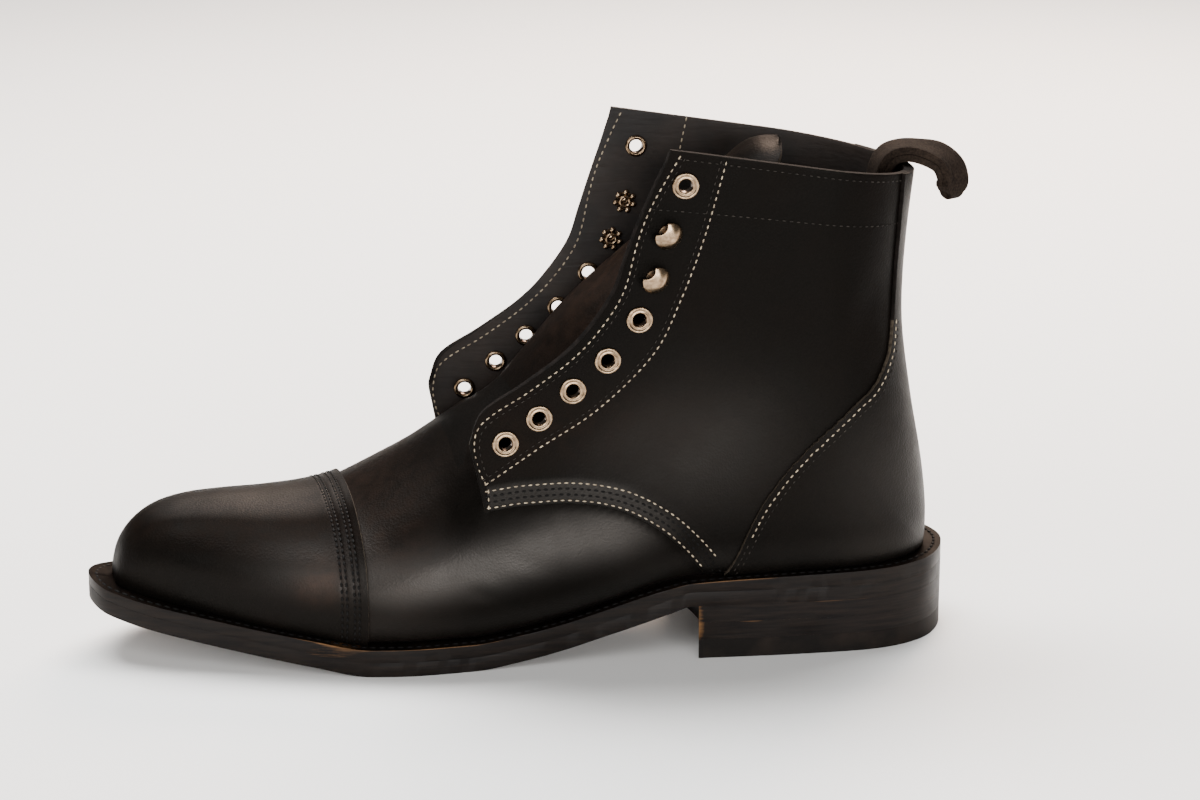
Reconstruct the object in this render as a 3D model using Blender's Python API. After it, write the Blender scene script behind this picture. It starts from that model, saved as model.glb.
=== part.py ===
"""Cap-toe lace-up boot for the left foot, built piece by piece as a bootmaker would.

All tables are in millimetres. The origin is under the middle of the heel, the toe points along -X,
the outer (lateral) side of the foot is -Y, the inner (medial) side is +Y, and +Z is up.
"""
import math

import bmesh
import bpy
import numpy as np

MM = 0.001
LATERAL = -1
MEDIAL = 1

# Leather and sole thicknesses
WALL = 2.2
OVERLAY = 1.3
BAND_THIN = 0.5
TONGUE_THICKNESS = 2.0
INSOLE_THICKNESS = 3.2
INSOLE_INSET = 4.2
OUTSOLE_THICKNESS = 5.2
GAP = 0.3
FOOT_GAP = 0.8
OVERLAY_GAP = 0.4
COUNTER_GAP = 0.6
OVERLAY_FOOT = 0.2
CAP_TIP_RISE = 2.4

# Welt: how far it stands out from the foot of the upper, and how far it reaches in under it
WELT_REACH = 6.6
WELT_TOE_EXTRA = 2.6
WELT_TOE_FROM = -200.0
WELT_HEEL_EXTRA = 1.6
WELT_HEEL_FROM = 0.0
WELT_UNDER = 6.0
WELT_EDGE = 0.6

# Heel stack
HEEL_BREAST_X = -49.8
HEEL_BREAST_HOLLOW = 7.0
HEEL_LIFTS = (
    # name, bottom z, top z
    ("heel_top_piece", 0.0, 6.6),
    ("heel_lift_lower", 6.9, 13.0),
    ("heel_lift_upper", 13.3, 19.2),
)

# Plan of the sole: a row for each station from toe to heel, with the two ends on their own
SOLE_TIP = (-261.0, 11.5)
SOLE_REAR = (44.3, 0.0)
SOLE_PLAN = (
    # x, lateral y, medial y
    (-257.5, 0.5, 23.0),
    (-249.5, -6.0, 32.0),
    (-237.0, -12.0, 42.0),
    (-218.0, -18.5, 52.5),
    (-185.0, -28.5, 65.0),
    (-154.0, -34.0, 66.0),
    (-125.0, -32.5, 53.0),
    (-90.0, -31.0, 35.5),
    (-52.0, -31.8, 31.4),
    (-20.0, -33.0, 32.5),
    (12.0, -32.3, 31.8),
    (30.0, -26.0, 25.6),
    (40.0, -15.0, 14.8),
)

# Side profile of the sole: toe spring, ball flat on the floor, arched waist, seat of the heel
SOLE_PROFILE = (
    # x, underside z, top of the welt z
    (-261.0, 19.6, 28.4),
    (-254.0, 16.8, 25.8),
    (-221.0, 9.6, 19.0),
    (-185.0, 3.2, 12.8),
    (-165.0, 0.0, 9.8),
    (-130.0, 0.0, 9.8),
    (-112.0, 2.4, 12.2),
    (-98.0, 5.4, 15.0),
    (-84.0, 9.4, 19.0),
    (-70.0, 13.7, 23.4),
    (-60.0, 17.0, 26.2),
    (-52.0, 19.5, 27.9),
    (-20.0, 19.5, 29.2),
    (44.3, 19.5, 30.4),
)

# Vamp: a row for each section from the tip of the toe to the throat, standing on the welt
VAMP_COLUMNS = ("ridge_x", "ridge_y", "ridge_z", "lean", "skew", "bulge",
                "out_lateral", "out_medial", "swell_medial", "round")
VAMP = (
    (-251.0, 11.5, 25.0, 0.0, -0.12, 0.40, 0.0, 0.0, 0.0, 2.0),
    (-250.2, 12.0, 32.5, 0.4, -0.12, 0.42, 0.6, 0.6, 0.0, 2.1),
    (-247.6, 13.5, 39.2, 0.8, -0.12, 0.44, 1.4, 1.4, 0.0, 2.2),
    (-242.2, 15.5, 44.6, 1.0, -0.12, 0.46, 2.2, 2.2, 0.0, 2.3),
    (-234.5, 18.0, 48.0, 1.0, -0.12, 0.46, 3.0, 3.0, 0.0, 2.3),
    (-224.0, 20.0, 49.6, 0.8, -0.11, 0.45, 3.6, 3.4, 0.0, 2.2),
    (-210.0, 20.0, 50.0, 0.5, -0.10, 0.43, 4.2, 3.6, 0.0, 2.1),
    (-196.0, 19.0, 49.9, 0.2, -0.09, 0.41, 4.6, 3.6, 0.0, 2.1),
    (-181.5, 17.5, 50.9, 0.0, -0.08, 0.41, 5.2, 3.6, 0.0, 2.1),
    (-169.8, 16.5, 54.0, 0.0, -0.07, 0.42, 5.8, 3.6, 0.0, 2.05),
    (-158.5, 15.0, 60.2, 0.0, -0.07, 0.44, 6.8, 3.0, 0.4, 2.0),
    (-146.0, 13.0, 67.8, -0.5, -0.075, 0.48, 8.4, 1.2, 2.0, 2.0),
    (-135.0, 11.0, 76.2, -1.0, -0.08, 0.52, 10.4, -1.4, 3.6, 2.0),
    (-123.0, 9.0, 86.0, -2.3, -0.087, 0.56, 12.8, -4.4, 5.0, 2.0),
)
CAP_STATION = 14
THROAT_TUCK = 3.0
TUCK_FIRST_ROW = 11.0
TUCK_SHARE = 0.12
THROAT_RETURN = 0.35

# Quarters and shaft: a row for each section, fanned from the upright throat to the level collar.
# The foot of a section runs along the welt to the heel, then up the back seam.
QUARTER_COLUMNS = ("foot_x", "back_z", "front_x", "front_z", "skew", "bulge",
                   "side_lateral", "side_medial", "edge_lateral", "edge_medial", "swell_medial", "bend")
QUARTER = (
    (-124.5, 0.0, -134.2, 85.0, -0.087, 0.58, -39.0, 42.0, -38.6, 39.0, 5.0, 2.0),
    (-109.0, 0.0, -129.4, 96.0, -0.087, 0.52, -38.8, 40.8, -38.4, 38.6, 4.0, 1.5),
    (-88.0, 0.0, -115.2, 105.0, -0.087, 0.48, -37.6, 39.2, -38.0, 38.2, 2.6, 1.1),
    (-60.0, 0.0, -101.2, 114.6, -0.085, 0.46, -36.2, 37.4, -37.8, 38.0, 1.2, 1.0),
    (-28.0, 0.0, -91.4, 124.6, -0.08, 0.46, -35.0, 35.4, -37.6, 37.8, 0.4, 1.0),
    (6.0, 0.0, -83.4, 136.6, -0.075, 0.46, -34.4, 34.4, -37.4, 37.6, 0.0, 1.0),
    (28.0, 0.0, -79.6, 148.0, -0.075, 0.46, -34.2, 34.2, -37.4, 37.6, 0.0, 1.0),
    (36.1, 31.0, -76.6, 157.0, -0.08, 0.46, -34.4, 34.4, -37.4, 37.6, 0.0, 1.0),
    (35.0, 55.0, -73.2, 166.0, -0.09, 0.46, -34.8, 34.8, -37.4, 37.6, 0.0, 1.0),
    (29.0, 86.0, -70.5, 172.8, -0.10, 0.45, -35.4, 35.4, -37.4, 37.6, 0.0, 1.0),
    (24.6, 116.0, -68.8, 177.2, -0.11, 0.44, -36.0, 36.0, -37.4, 37.6, 0.0, 1.0),
    (25.0, 142.0, -67.4, 180.8, -0.115, 0.43, -36.6, 36.6, -37.4, 37.6, 0.0, 1.0),
    (27.4, 169.0, -66.4, 184.2, -0.12, 0.42, -37.0, 37.0, -37.2, 37.4, 0.0, 1.0),
)
HEEL_ROW = 7

# Counter and backstay: front edge of the layer, rising from the welt to the collar
COUNTER_EDGE = (
    # z, x
    (24.0, -45.0),
    (32.0, -39.0),
    (55.0, -28.7),
    (73.0, -15.0),
    (89.6, 2.8),
    (99.3, 13.0),
    (110.0, 17.5),
    (127.0, 19.0),
    (150.0, 20.0),
    (190.0, 21.5),
)
COUNTER_FIRST_ROW = 3.6
COUNTER_FOOT = 0.09
COUNTER_LEAST = 0.03

# Lower edge of the quarter where it is sewn over the vamp, and the width of its sewn band
SEAM_EDGE = (
    # x, z
    (-124.0, 60.5),
    (-112.0, 61.6),
    (-100.0, 61.5),
    (-90.0, 60.4),
    (-79.0, 57.5),
    (-65.0, 49.5),
    (-56.0, 41.0),
    (-49.5, 33.0),
)
SEAM_BAND_WIDTH = 9.5
MEDIAL_SHIFT = -6.5

# Tongue: a row for each section from under the vamp to its round top
TONGUE_COLUMNS = ("x", "z", "y", "half_width", "drop")
TONGUE = (
    (-132.0, 73.9, 10.0, 13.0, 4.2),
    (-123.0, 81.9, 9.0, 16.0, 5.4),
    (-113.0, 95.4, 7.0, 21.0, 6.8),
    (-93.0, 119.6, 4.0, 27.0, 7.6),
    (-71.0, 139.6, 1.5, 29.0, 8.4),
    (-50.0, 157.6, 0.0, 29.0, 8.6),
    (-35.0, 170.0, 0.0, 25.5, 7.0),
    (-28.4, 176.2, 0.0, 20.5, 6.0),
    (-24.8, 180.4, 0.0, 12.0, 2.6),
)

# Pull loop: middle line of the doubled strap, from inside the collar up and over to its hanging bight,
# and the turn of the strap about that line in degrees
LOOP_PATH = (
    # x, z, turn
    (17.4, 150.0, 0.0),
    (18.0, 160.0, 0.0),
    (18.8, 167.0, 0.0),
    (21.8, 171.7, 0.0),
    (27.4, 173.2, 1.0),
    (34.0, 172.2, 5.0),
    (40.0, 170.0, 14.0),
    (44.0, 165.6, 25.0),
    (44.6, 161.0, 32.0),
    (43.2, 157.8, 34.0),
)
LOOP_WIDTH = 13.0
LOOP_STRAP = 2.2
LOOP_SLOT = 0.9

# Lace holes on both facings, from the lowest up
FASTENINGS = (
    # kind, outer x, outer z, inner x, inner z
    ("eyelet", -118.1, 84.3, -123.9, 82.5),
    ("eyelet", -106.4, 92.5, -112.6, 92.5),
    ("eyelet", -94.8, 101.7, -101.6, 101.7),
    ("eyelet", -82.8, 111.8, -90.0, 112.0),
    ("eyelet", -71.9, 125.6, -79.1, 124.5),
    ("hook", -66.6, 139.7, -70.9, 136.7),
    ("hook", -62.4, 155.0, -66.0, 150.2),
    ("eyelet", -56.6, 171.8, -62.0, 170.0),
)
EYELET_OUTER = 4.7
EYELET_BORE = 2.5
EYELET_BARREL = 3.1
EYELET_RISE = 1.0
HOLE_RADIUS = 3.45
HOOK_BASE = 3.6
HOOK_STEM = 1.7
HOOK_HEAD = 5.0
HOOK_HEIGHT = 4.6
HOOK_PLATE = 1.1
HOOK_FOOT = 1.0
RIVET_RADIUS = 3.1
ROUND_SIDES = 8

# How finely the solids are faceted
SECTION_STEPS = 12
VAMP_STEPS = 20
QUARTER_STEPS = 20
PLAN_STEPS = 42
LOOP_STEPS = 14
TONGUE_STEPS = 16
TONGUE_ACROSS = 9
DENSE = 400

COLOURS = {
    # material: colour, roughness, metallic
    "black_waxed_leather": ((0.020, 0.017, 0.015), 0.42, 0.0),
    "sole_leather": ((0.030, 0.020, 0.015), 0.48, 0.0),
    "heel_rubber": ((0.016, 0.014, 0.013), 0.62, 0.0),
    "insole_leather": ((0.16, 0.10, 0.06), 0.7, 0.0),
    "nickel": ((0.62, 0.59, 0.54), 0.25, 1.0),
}


def row_at(table, s):
    """Smooth (Catmull-Rom) row of a table at the row number s."""
    rows = np.array(table, dtype=float)
    last = len(rows) - 1
    i = int(min(max(math.floor(s), 0), last - 1))
    t = s - i
    p1 = rows[i]
    p2 = rows[i + 1]
    p0 = rows[i - 1] if i > 0 else 2 * p1 - p2
    p3 = rows[i + 2] if i + 2 <= last else 2 * p2 - p1
    return 0.5 * (2 * p1 + (p2 - p0) * t + (2 * p0 - 5 * p1 + 4 * p2 - p3) * t ** 2
                  + (3 * p1 - p0 - 3 * p2 + p3) * t ** 3)


def named_row(columns, table, s):
    return dict(zip(columns, row_at(table, s)))


def level_curve(table, at, column=1):
    """Monotone cubic through a two-column (or wider) table, which keeps flat stretches flat."""
    x = np.array([row[0] for row in table], dtype=float)
    y = np.array([row[column] for row in table], dtype=float)
    step = np.diff(x)
    slope = np.diff(y) / step
    tangent = np.zeros_like(x)
    tangent[0] = slope[0]
    tangent[-1] = slope[-1]
    for i in range(1, len(x) - 1):
        if slope[i - 1] * slope[i] > 0:
            tangent[i] = 2 * slope[i - 1] * slope[i] / (slope[i - 1] + slope[i])
    i = int(np.clip(np.searchsorted(x, at) - 1, 0, len(x) - 2))
    t = min(max((at - x[i]) / step[i], 0.0), 1.0)
    h00 = 2 * t ** 3 - 3 * t ** 2 + 1
    h10 = t ** 3 - 2 * t ** 2 + t
    h01 = 3 * t ** 2 - 2 * t ** 3
    h11 = t ** 3 - t ** 2
    return h00 * y[i] + h10 * step[i] * tangent[i] + h01 * y[i + 1] + h11 * step[i] * tangent[i + 1]


def underside(x):
    return level_curve(SOLE_PROFILE, x, 1)


def welt_top(x):
    return level_curve(SOLE_PROFILE, x, 2)


def sole_half(side, count):
    """One half of the sole's outline from the toe's tip to the rear of the heel."""
    column = 1 if side == LATERAL else 2
    rows = [SOLE_TIP] + [(row[0], row[column]) for row in SOLE_PLAN] + [SOLE_REAR]
    other = 3 - column
    before = (SOLE_PLAN[0][0], SOLE_PLAN[0][other])
    after = (SOLE_PLAN[-1][0], SOLE_PLAN[-1][other])
    padded = [before] + rows + [after]
    return [row_at(padded, 1 + u) for u in np.linspace(0, len(rows) - 1, count + 1)]


def ease(share):
    """Smooth step from 0 to 1."""
    share = min(max(share, 0.0), 1.0)
    return share * share * (3 - 2 * share)


def welt_reach(x):
    """The welt stands out a little more round the toe and behind the heel."""
    toe = ease((WELT_TOE_FROM - x) / (WELT_TOE_FROM - SOLE_TIP[0]))
    heel = ease((x - WELT_HEEL_FROM) / (SOLE_REAR[0] - WELT_HEEL_FROM))
    return WELT_REACH + WELT_TOE_EXTRA * toe + WELT_HEEL_EXTRA * heel


def inset_half(side, count, inset):
    """The sole's outline moved inwards; inset is a number or a function of x."""
    points = np.array(sole_half(side, count))
    ahead = np.array(sole_half(-side, count))
    ring = np.vstack([ahead[1][None], points, ahead[-2][None]])
    tangent = ring[2:] - ring[:-2]
    tangent /= np.linalg.norm(tangent, axis=1)[:, None]
    normal = np.stack([-tangent[:, 1], tangent[:, 0]], axis=1) * -side
    distance = np.array([inset(p[0]) if callable(inset) else inset for p in points])
    return points + normal * distance[:, None]


FOOT_LINE = {side: inset_half(side, DENSE, welt_reach) for side in (LATERAL, MEDIAL)}


def foot_point(side, x, skew, about_y):
    """Where a section's line crosses the foot of the upper on one side."""
    line = FOOT_LINE[side]
    along = line[:, 0] - skew * (line[:, 1] - about_y)
    order = np.argsort(along)
    return float(np.interp(x, along[order], line[order, 1]))


def section_curve(v, foot, side, edge, bulge, roundness, swell):
    """Width y and height share h of a section: out from the foot, then over to the ridge or front edge."""
    if v <= 0.5:
        turn = v * math.pi
        y = foot + (side - foot) * math.sin(turn) + swell * math.sin(2 * turn)
        return y, bulge * (1 - math.cos(turn))
    turn = (v - 0.5) * math.pi
    power = 2.0 / roundness
    across = max(math.cos(turn), 0.0) ** power
    rise = max(math.sin(turn), 0.0) ** power
    return edge + (side - edge) * across, bulge + (1 - bulge) * rise


def throat_tuck(s, v):
    """How far the vamp is tucked in under the facings, near the throat and above their lower corners."""
    near = ease((s - TUCK_FIRST_ROW) / (len(VAMP) - 1 - TUCK_FIRST_ROW))
    return THROAT_TUCK * near * ease((v - 0.5) / TUCK_SHARE) * math.cos(max(v - 0.5, 0.0) * math.pi)


def vamp_point(s, v, side):
    row = named_row(VAMP_COLUMNS, VAMP, s)
    foot_x = row["ridge_x"] + row["lean"]
    foot = foot_point(side, foot_x, row["skew"], row["ridge_y"])
    out = row["out_lateral"] if side == LATERAL else row["out_medial"]
    swell = 0.0 if side == LATERAL else row["swell_medial"]
    y, h = section_curve(v, foot, foot + side * out, row["ridge_y"], row["bulge"], row["round"], swell)
    y -= side * throat_tuck(s, v)
    x = foot_x + (row["ridge_x"] - foot_x) * h + row["skew"] * (y - row["ridge_y"])
    low = welt_top(x) + FOOT_GAP
    ridge = max(row["ridge_z"], low)
    return np.array([x, y, low + (ridge - low) * h])


def quarter_point(s, v, side):
    row = named_row(QUARTER_COLUMNS, QUARTER, s)
    name = "lateral" if side == LATERAL else "medial"
    on_back = s >= HEEL_ROW
    foot = 0.0 if on_back else foot_point(side, row["foot_x"], row["skew"], 0.0)
    swell = 0.0 if side == LATERAL else row["swell_medial"]
    y, h = section_curve(v, foot, row["side_" + name], row["edge_" + name], row["bulge"], 2.0, swell)
    x = row["foot_x"] + (row["front_x"] - row["foot_x"]) * h ** row["bend"] + row["skew"] * y
    seat = welt_top(row["foot_x"] + row["skew"] * y) + FOOT_GAP
    low = row["back_z"] if on_back else seat
    return np.array([x, y, low + (row["front_z"] - low) * h])


def normal_at(surface, s, v, side):
    """Outward normal of the upper's surface, by small differences."""
    ds = 0.02
    dv = 0.01
    before = s if s >= HEEL_ROW > s - ds else s - ds
    along = surface(s + ds, v, side) - surface(before, v, side)
    up = surface(s, min(v + dv, 1.0), side) - surface(s, max(v - dv, 0.0), side)
    normal = np.cross(along, up) * (1 if side == LATERAL else -1)
    return normal / np.linalg.norm(normal)


def quarter_at(x, z, side):
    """The row number and share of the quarter's section that lie at x and z, by Newton's method."""
    best = min(((s, v) for s in np.arange(0.2, 12.0, 0.4) for v in np.arange(0.15, 1.0, 0.1)),
               key=lambda p: float(np.sum((quarter_point(p[0], p[1], side)[[0, 2]] - (x, z)) ** 2)))
    s, v = best
    step = 1e-3
    for _ in range(12):
        here = quarter_point(s, v, side)[[0, 2]]
        ds = (quarter_point(s + step, v, side)[[0, 2]] - here) / step
        dv = (quarter_point(s, v + step, side)[[0, 2]] - here) / step
        move = np.linalg.solve(np.stack([ds, dv], axis=1), np.array([x, z]) - here)
        s = float(np.clip(s + np.clip(move[0], -0.5, 0.5), 0.0, len(QUARTER) - 1.0))
        v = float(np.clip(v + np.clip(move[1], -0.1, 0.1), 0.0, 1.0 - step))
    return s, v


def material(name):
    found = bpy.data.materials.get(name)
    if found:
        return found
    colour, roughness, metallic = COLOURS[name]
    made = bpy.data.materials.new(name)
    made.use_nodes = True
    shader = made.node_tree.nodes["Principled BSDF"]
    shader.inputs["Base Color"].default_value = (*colour, 1.0)
    shader.inputs["Roughness"].default_value = roughness
    shader.inputs["Metallic"].default_value = metallic
    return made


def add_object(name, mesh, material_name, parent):
    mesh.materials.append(material(material_name))
    piece = bpy.data.objects.new(name, mesh)
    bpy.context.scene.collection.objects.link(piece)
    piece.parent = parent
    return piece


def mesh_from_patches(name, patches):
    """One surface from point grids; shared rims are merged and (grid, flip) sets the way a grid faces."""
    bm = bmesh.new()
    for grid, flip in patches:
        made = [[bm.verts.new(np.array(p) * MM) for p in line] for line in grid]
        for i in range(len(made) - 1):
            for j in range(len(made[i]) - 1):
                quad = [made[i][j], made[i + 1][j], made[i + 1][j + 1], made[i][j + 1]]
                bm.faces.new(quad[::-1] if flip else quad)
    bmesh.ops.remove_doubles(bm, verts=bm.verts, dist=0.00001)
    mesh = bpy.data.meshes.new(name)
    bm.to_mesh(mesh)
    bm.free()
    mesh.shade_smooth()
    return mesh


def thicken(piece, thickness, offset):
    """Give a surface its leather thickness, inwards (-1) or outwards (1)."""
    solid = piece.modifiers.new("leather", "SOLIDIFY")
    solid.thickness = thickness * MM
    solid.offset = offset
    solid.use_even_offset = False
    return solid


def lift(surface, s, v, side, height):
    return surface(s, v, side) + normal_at(surface, s, v, side) * height


def shares(count, first=0.0, last=1.0):
    return np.linspace(first, last, count + 1)


def build_upper(parent):
    """Vamp, quarters and shaft in one wall, with the lace holes cut through it."""
    patches = []
    half = SECTION_STEPS // 2
    for side in (LATERAL, MEDIAL):
        vamp = [[vamp_point(s, v, side) for v in shares(SECTION_STEPS)]
                for s in shares(VAMP_STEPS, 0.0, len(VAMP) - 1)]
        quarter = [[quarter_point(s, v, side) for v in shares(SECTION_STEPS)]
                   for s in quarter_stations()]
        vamp[-1] = throat_line(vamp[-1], quarter[0], half)
        patches.append((vamp, side == MEDIAL))
        patches.append((quarter, side == MEDIAL))
    upper = add_object("upper", mesh_from_patches("upper", patches), "black_waxed_leather", parent)
    thicken(upper, WALL, -1)
    cut = upper.modifiers.new("lace_holes", "BOOLEAN")
    cut.operation = "DIFFERENCE"
    cut.object = lace_hole_cutter(parent)
    return upper


def throat_line(vamp_edge, facing_edge, half):
    """Throat edge of the vamp: shared with the quarter, then ahead of the facing and back to the ridge."""
    line = list(facing_edge[:half + 1])
    for j in range(half + 1, SECTION_STEPS + 1):
        back = ease((j / SECTION_STEPS - 0.5) / THROAT_RETURN)
        point = vamp_edge[j].copy()
        point[0] += (1 - back) * (facing_edge[j][0] - GAP - point[0])
        line.append(point)
    return line


def quarter_stations():
    """Sections of the quarter, with one exactly at the heel's rear where the two sides meet."""
    before = round(QUARTER_STEPS * HEEL_ROW / (len(QUARTER) - 1))
    low = shares(before, 0.0, HEEL_ROW)
    high = shares(QUARTER_STEPS - before, HEEL_ROW, len(QUARTER) - 1)
    return list(low) + list(high[1:])


def build_toe_cap(parent):
    """Layer over the toe on the vamp's own sections, with its raw edge along the cap seam."""
    patches = []
    stations = shares(VAMP_STEPS, 0.0, len(VAMP) - 1)[1:CAP_STATION + 1]
    for side in (LATERAL, MEDIAL):
        tip = vamp_point(0.0, 0.5, side)
        grid = [[tip + (-OVERLAY_GAP, 0.0, CAP_TIP_RISE)] * (SECTION_STEPS + 1)]
        for s in stations:
            first = OVERLAY_FOOT * (1 + max(1 - s / 2, 0.0))
            line = [lift(vamp_point, s, max(v, first), side, OVERLAY_GAP) for v in shares(SECTION_STEPS)]
            line[-1][1] = row_at(VAMP, s)[1]
            grid.append(line)
        patches.append((grid, side == MEDIAL))
    cap = add_object("toe_cap", mesh_from_patches("toe_cap", patches), "black_waxed_leather", parent)
    thicken(cap, OVERLAY, 1)
    return cap


def counter_share(s, side):
    """Share of a section that the counter covers, up to its front edge."""
    low = 0.0
    high = 0.95
    for _ in range(30):
        middle = 0.5 * (low + high)
        x, _, z = quarter_point(s, middle, side)
        if x > level_curve(COUNTER_EDGE, z):
            low = middle
        else:
            high = middle
    return low


def build_counter(parent):
    """Layer round the heel on the quarter's own sections, narrowing to the backstay."""
    patches = []
    stations = [s for s in quarter_stations() if s > COUNTER_FIRST_ROW]
    for side in (LATERAL, MEDIAL):
        grid = []
        for s in stations:
            first = 0.0 if s >= HEEL_ROW else COUNTER_FOOT
            last = max(counter_share(s, side), first + COUNTER_LEAST)
            line = [lift(quarter_point, s, min(max(v, first), last), side, COUNTER_GAP)
                    for v in shares(SECTION_STEPS)]
            if s >= HEEL_ROW:
                line[0][1] = 0.0
            grid.append(line)
        patches.append((grid, side == MEDIAL))
    counter = add_object("counter", mesh_from_patches("counter", patches), "black_waxed_leather", parent)
    thicken(counter, OVERLAY, 1)
    return counter


def build_seam_bands(parent):
    """Sewn lower margin of each quarter: full thickness at its lower edge, thinned towards the top."""
    stations = np.linspace(SEAM_EDGE[0][0], SEAM_EDGE[-1][0], 13)
    for side, name in ((LATERAL, "seam_band_outer"), (MEDIAL, "seam_band_inner")):
        shift = MEDIAL_SHIFT if side == MEDIAL else 0.0
        low = []
        high = []
        for x in stations:
            edge = np.array([x, level_curve(SEAM_EDGE, x)])
            ahead = np.array([x + 1.0, level_curve(SEAM_EDGE, x + 1.0)])
            along = (ahead - edge) / np.linalg.norm(ahead - edge)
            across = np.array([-along[1], along[0]])
            low_line = []
            high_line = []
            for share, thickness in ((0.0, OVERLAY), (0.5, OVERLAY), (0.8, OVERLAY), (1.0, BAND_THIN)):
                spot = edge + across * SEAM_BAND_WIDTH * share
                s, v = quarter_at(spot[0] + shift, spot[1], side)
                low_line.append(lift(quarter_point, s, v, side, COUNTER_GAP))
                high_line.append(lift(quarter_point, s, v, side, COUNTER_GAP + thickness))
            low.append(low_line)
            high.append(high_line)
        mesh = closed_slab(name, low, high, side == MEDIAL)
        add_object(name, mesh, "black_waxed_leather", parent)


def closed_slab(name, low, high, flip):
    """Solid between two point grids of one shape; high is the outer face."""
    rows = len(low) - 1
    columns = len(low[0]) - 1
    patches = [(high, flip), (low, not flip)]
    rims = [
        ([low[0], high[0]], not flip),
        ([low[rows], high[rows]], flip),
        ([[line[0] for line in low], [line[0] for line in high]], flip),
        ([[line[columns] for line in low], [line[columns] for line in high]], not flip),
    ]
    mesh = mesh_from_patches(name, patches + rims)
    bm = bmesh.new()
    bm.from_mesh(mesh)
    bmesh.ops.recalc_face_normals(bm, faces=bm.faces)
    bm.to_mesh(mesh)
    bm.free()
    return mesh


def build_tongue(parent):
    """Arched tongue that rises from under the vamp to a round top."""
    low = []
    high = []
    for s in shares(TONGUE_STEPS, 0.0, len(TONGUE) - 1):
        row = named_row(TONGUE_COLUMNS, TONGUE, s)
        near = row_at(TONGUE, min(s + 0.05, len(TONGUE) - 1.0))
        far = row_at(TONGUE, max(s - 0.05, 0.0))
        along = np.array([near[0] - far[0], 0.0, near[1] - far[1]])
        along /= np.linalg.norm(along)
        normal = np.array([-along[2], 0.0, along[0]])
        centre = np.array([row["x"], row["y"], row["z"]])
        line = []
        for t in np.linspace(-1.0, 1.0, TONGUE_ACROSS):
            line.append(centre + (0.0, row["half_width"] * t, 0.0) - normal * row["drop"] * t * t)
        high.append(line)
        low.append([p - normal * TONGUE_THICKNESS for p in line])
    add_object("tongue", closed_slab("tongue", low, high, False), "black_waxed_leather", parent)


def plate(name, top, bottom, inset, material_name, parent):
    """Plate with the sole's outline, moved inwards by inset, between two heights given by x."""
    lateral = inset_half(LATERAL, PLAN_STEPS, inset)
    medial = inset_half(MEDIAL, PLAN_STEPS, inset)
    high = [[(*a, top(a[0])), (*b, top(b[0]))] for a, b in zip(lateral, medial)]
    low = [[(*a, bottom(a[0])), (*b, bottom(b[0]))] for a, b in zip(lateral, medial)]
    return add_object(name, closed_slab(name, low, high, False), material_name, parent)


def build_sole(parent):
    """Outsole, welt ring and insole."""
    plate("outsole", lambda x: underside(x) + OUTSOLE_THICKNESS, underside, 0.0, "sole_leather", parent)
    plate("insole", lambda x: welt_top(x) + GAP + INSOLE_THICKNESS, lambda x: welt_top(x) + GAP,
          lambda x: welt_reach(x) + INSOLE_INSET, "insole_leather", parent)
    rings = []
    for inset in (WELT_EDGE, lambda x: welt_reach(x) + WELT_UNDER):
        lateral = inset_half(LATERAL, PLAN_STEPS, inset)
        medial = inset_half(MEDIAL, PLAN_STEPS, inset)
        rings.append(np.vstack([lateral, medial[::-1][1:-1]]))
    loops = []
    corners = ((rings[0], welt_foot), (rings[0], welt_top), (rings[1], welt_top), (rings[1], welt_foot))
    for ring, height in corners:
        loop = [(p[0], p[1], height(p[0])) for p in ring]
        loops.append(loop + loop[:1])
    mesh = mesh_from_patches("welt", [(loops + loops[:1], True)])
    add_object("welt", mesh, "sole_leather", parent)


def welt_foot(x):
    return underside(x) + OUTSOLE_THICKNESS + GAP


def build_heel(parent):
    """Heel stack with a hollowed breast."""
    lateral = [p for p in sole_half(LATERAL, PLAN_STEPS) if p[0] > HEEL_BREAST_X + 1.0]
    medial = [p for p in sole_half(MEDIAL, PLAN_STEPS) if p[0] > HEEL_BREAST_X + 1.0]
    corner_y = abs(lateral[0][1])
    breast = []
    for y in np.linspace(-corner_y, corner_y, 13):
        hollow = HEEL_BREAST_HOLLOW * (1 - (y / corner_y) ** 2)
        breast.append((HEEL_BREAST_X + hollow, y))
    ring = breast + medial[1:] + lateral[1:-1][::-1]
    for name, bottom, top in HEEL_LIFTS:
        bm = bmesh.new()
        face = bm.faces.new([bm.verts.new((p[0] * MM, p[1] * MM, bottom * MM)) for p in ring])
        made = bmesh.ops.extrude_face_region(bm, geom=[face])
        raised = [v for v in made["geom"] if isinstance(v, bmesh.types.BMVert)]
        bmesh.ops.translate(bm, verts=raised, vec=(0.0, 0.0, (top - bottom) * MM))
        bmesh.ops.recalc_face_normals(bm, faces=bm.faces)
        mesh = bpy.data.meshes.new(name)
        bm.to_mesh(mesh)
        bm.free()
        add_object(name, mesh, "heel_rubber" if bottom == 0.0 else "sole_leather", parent)


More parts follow.
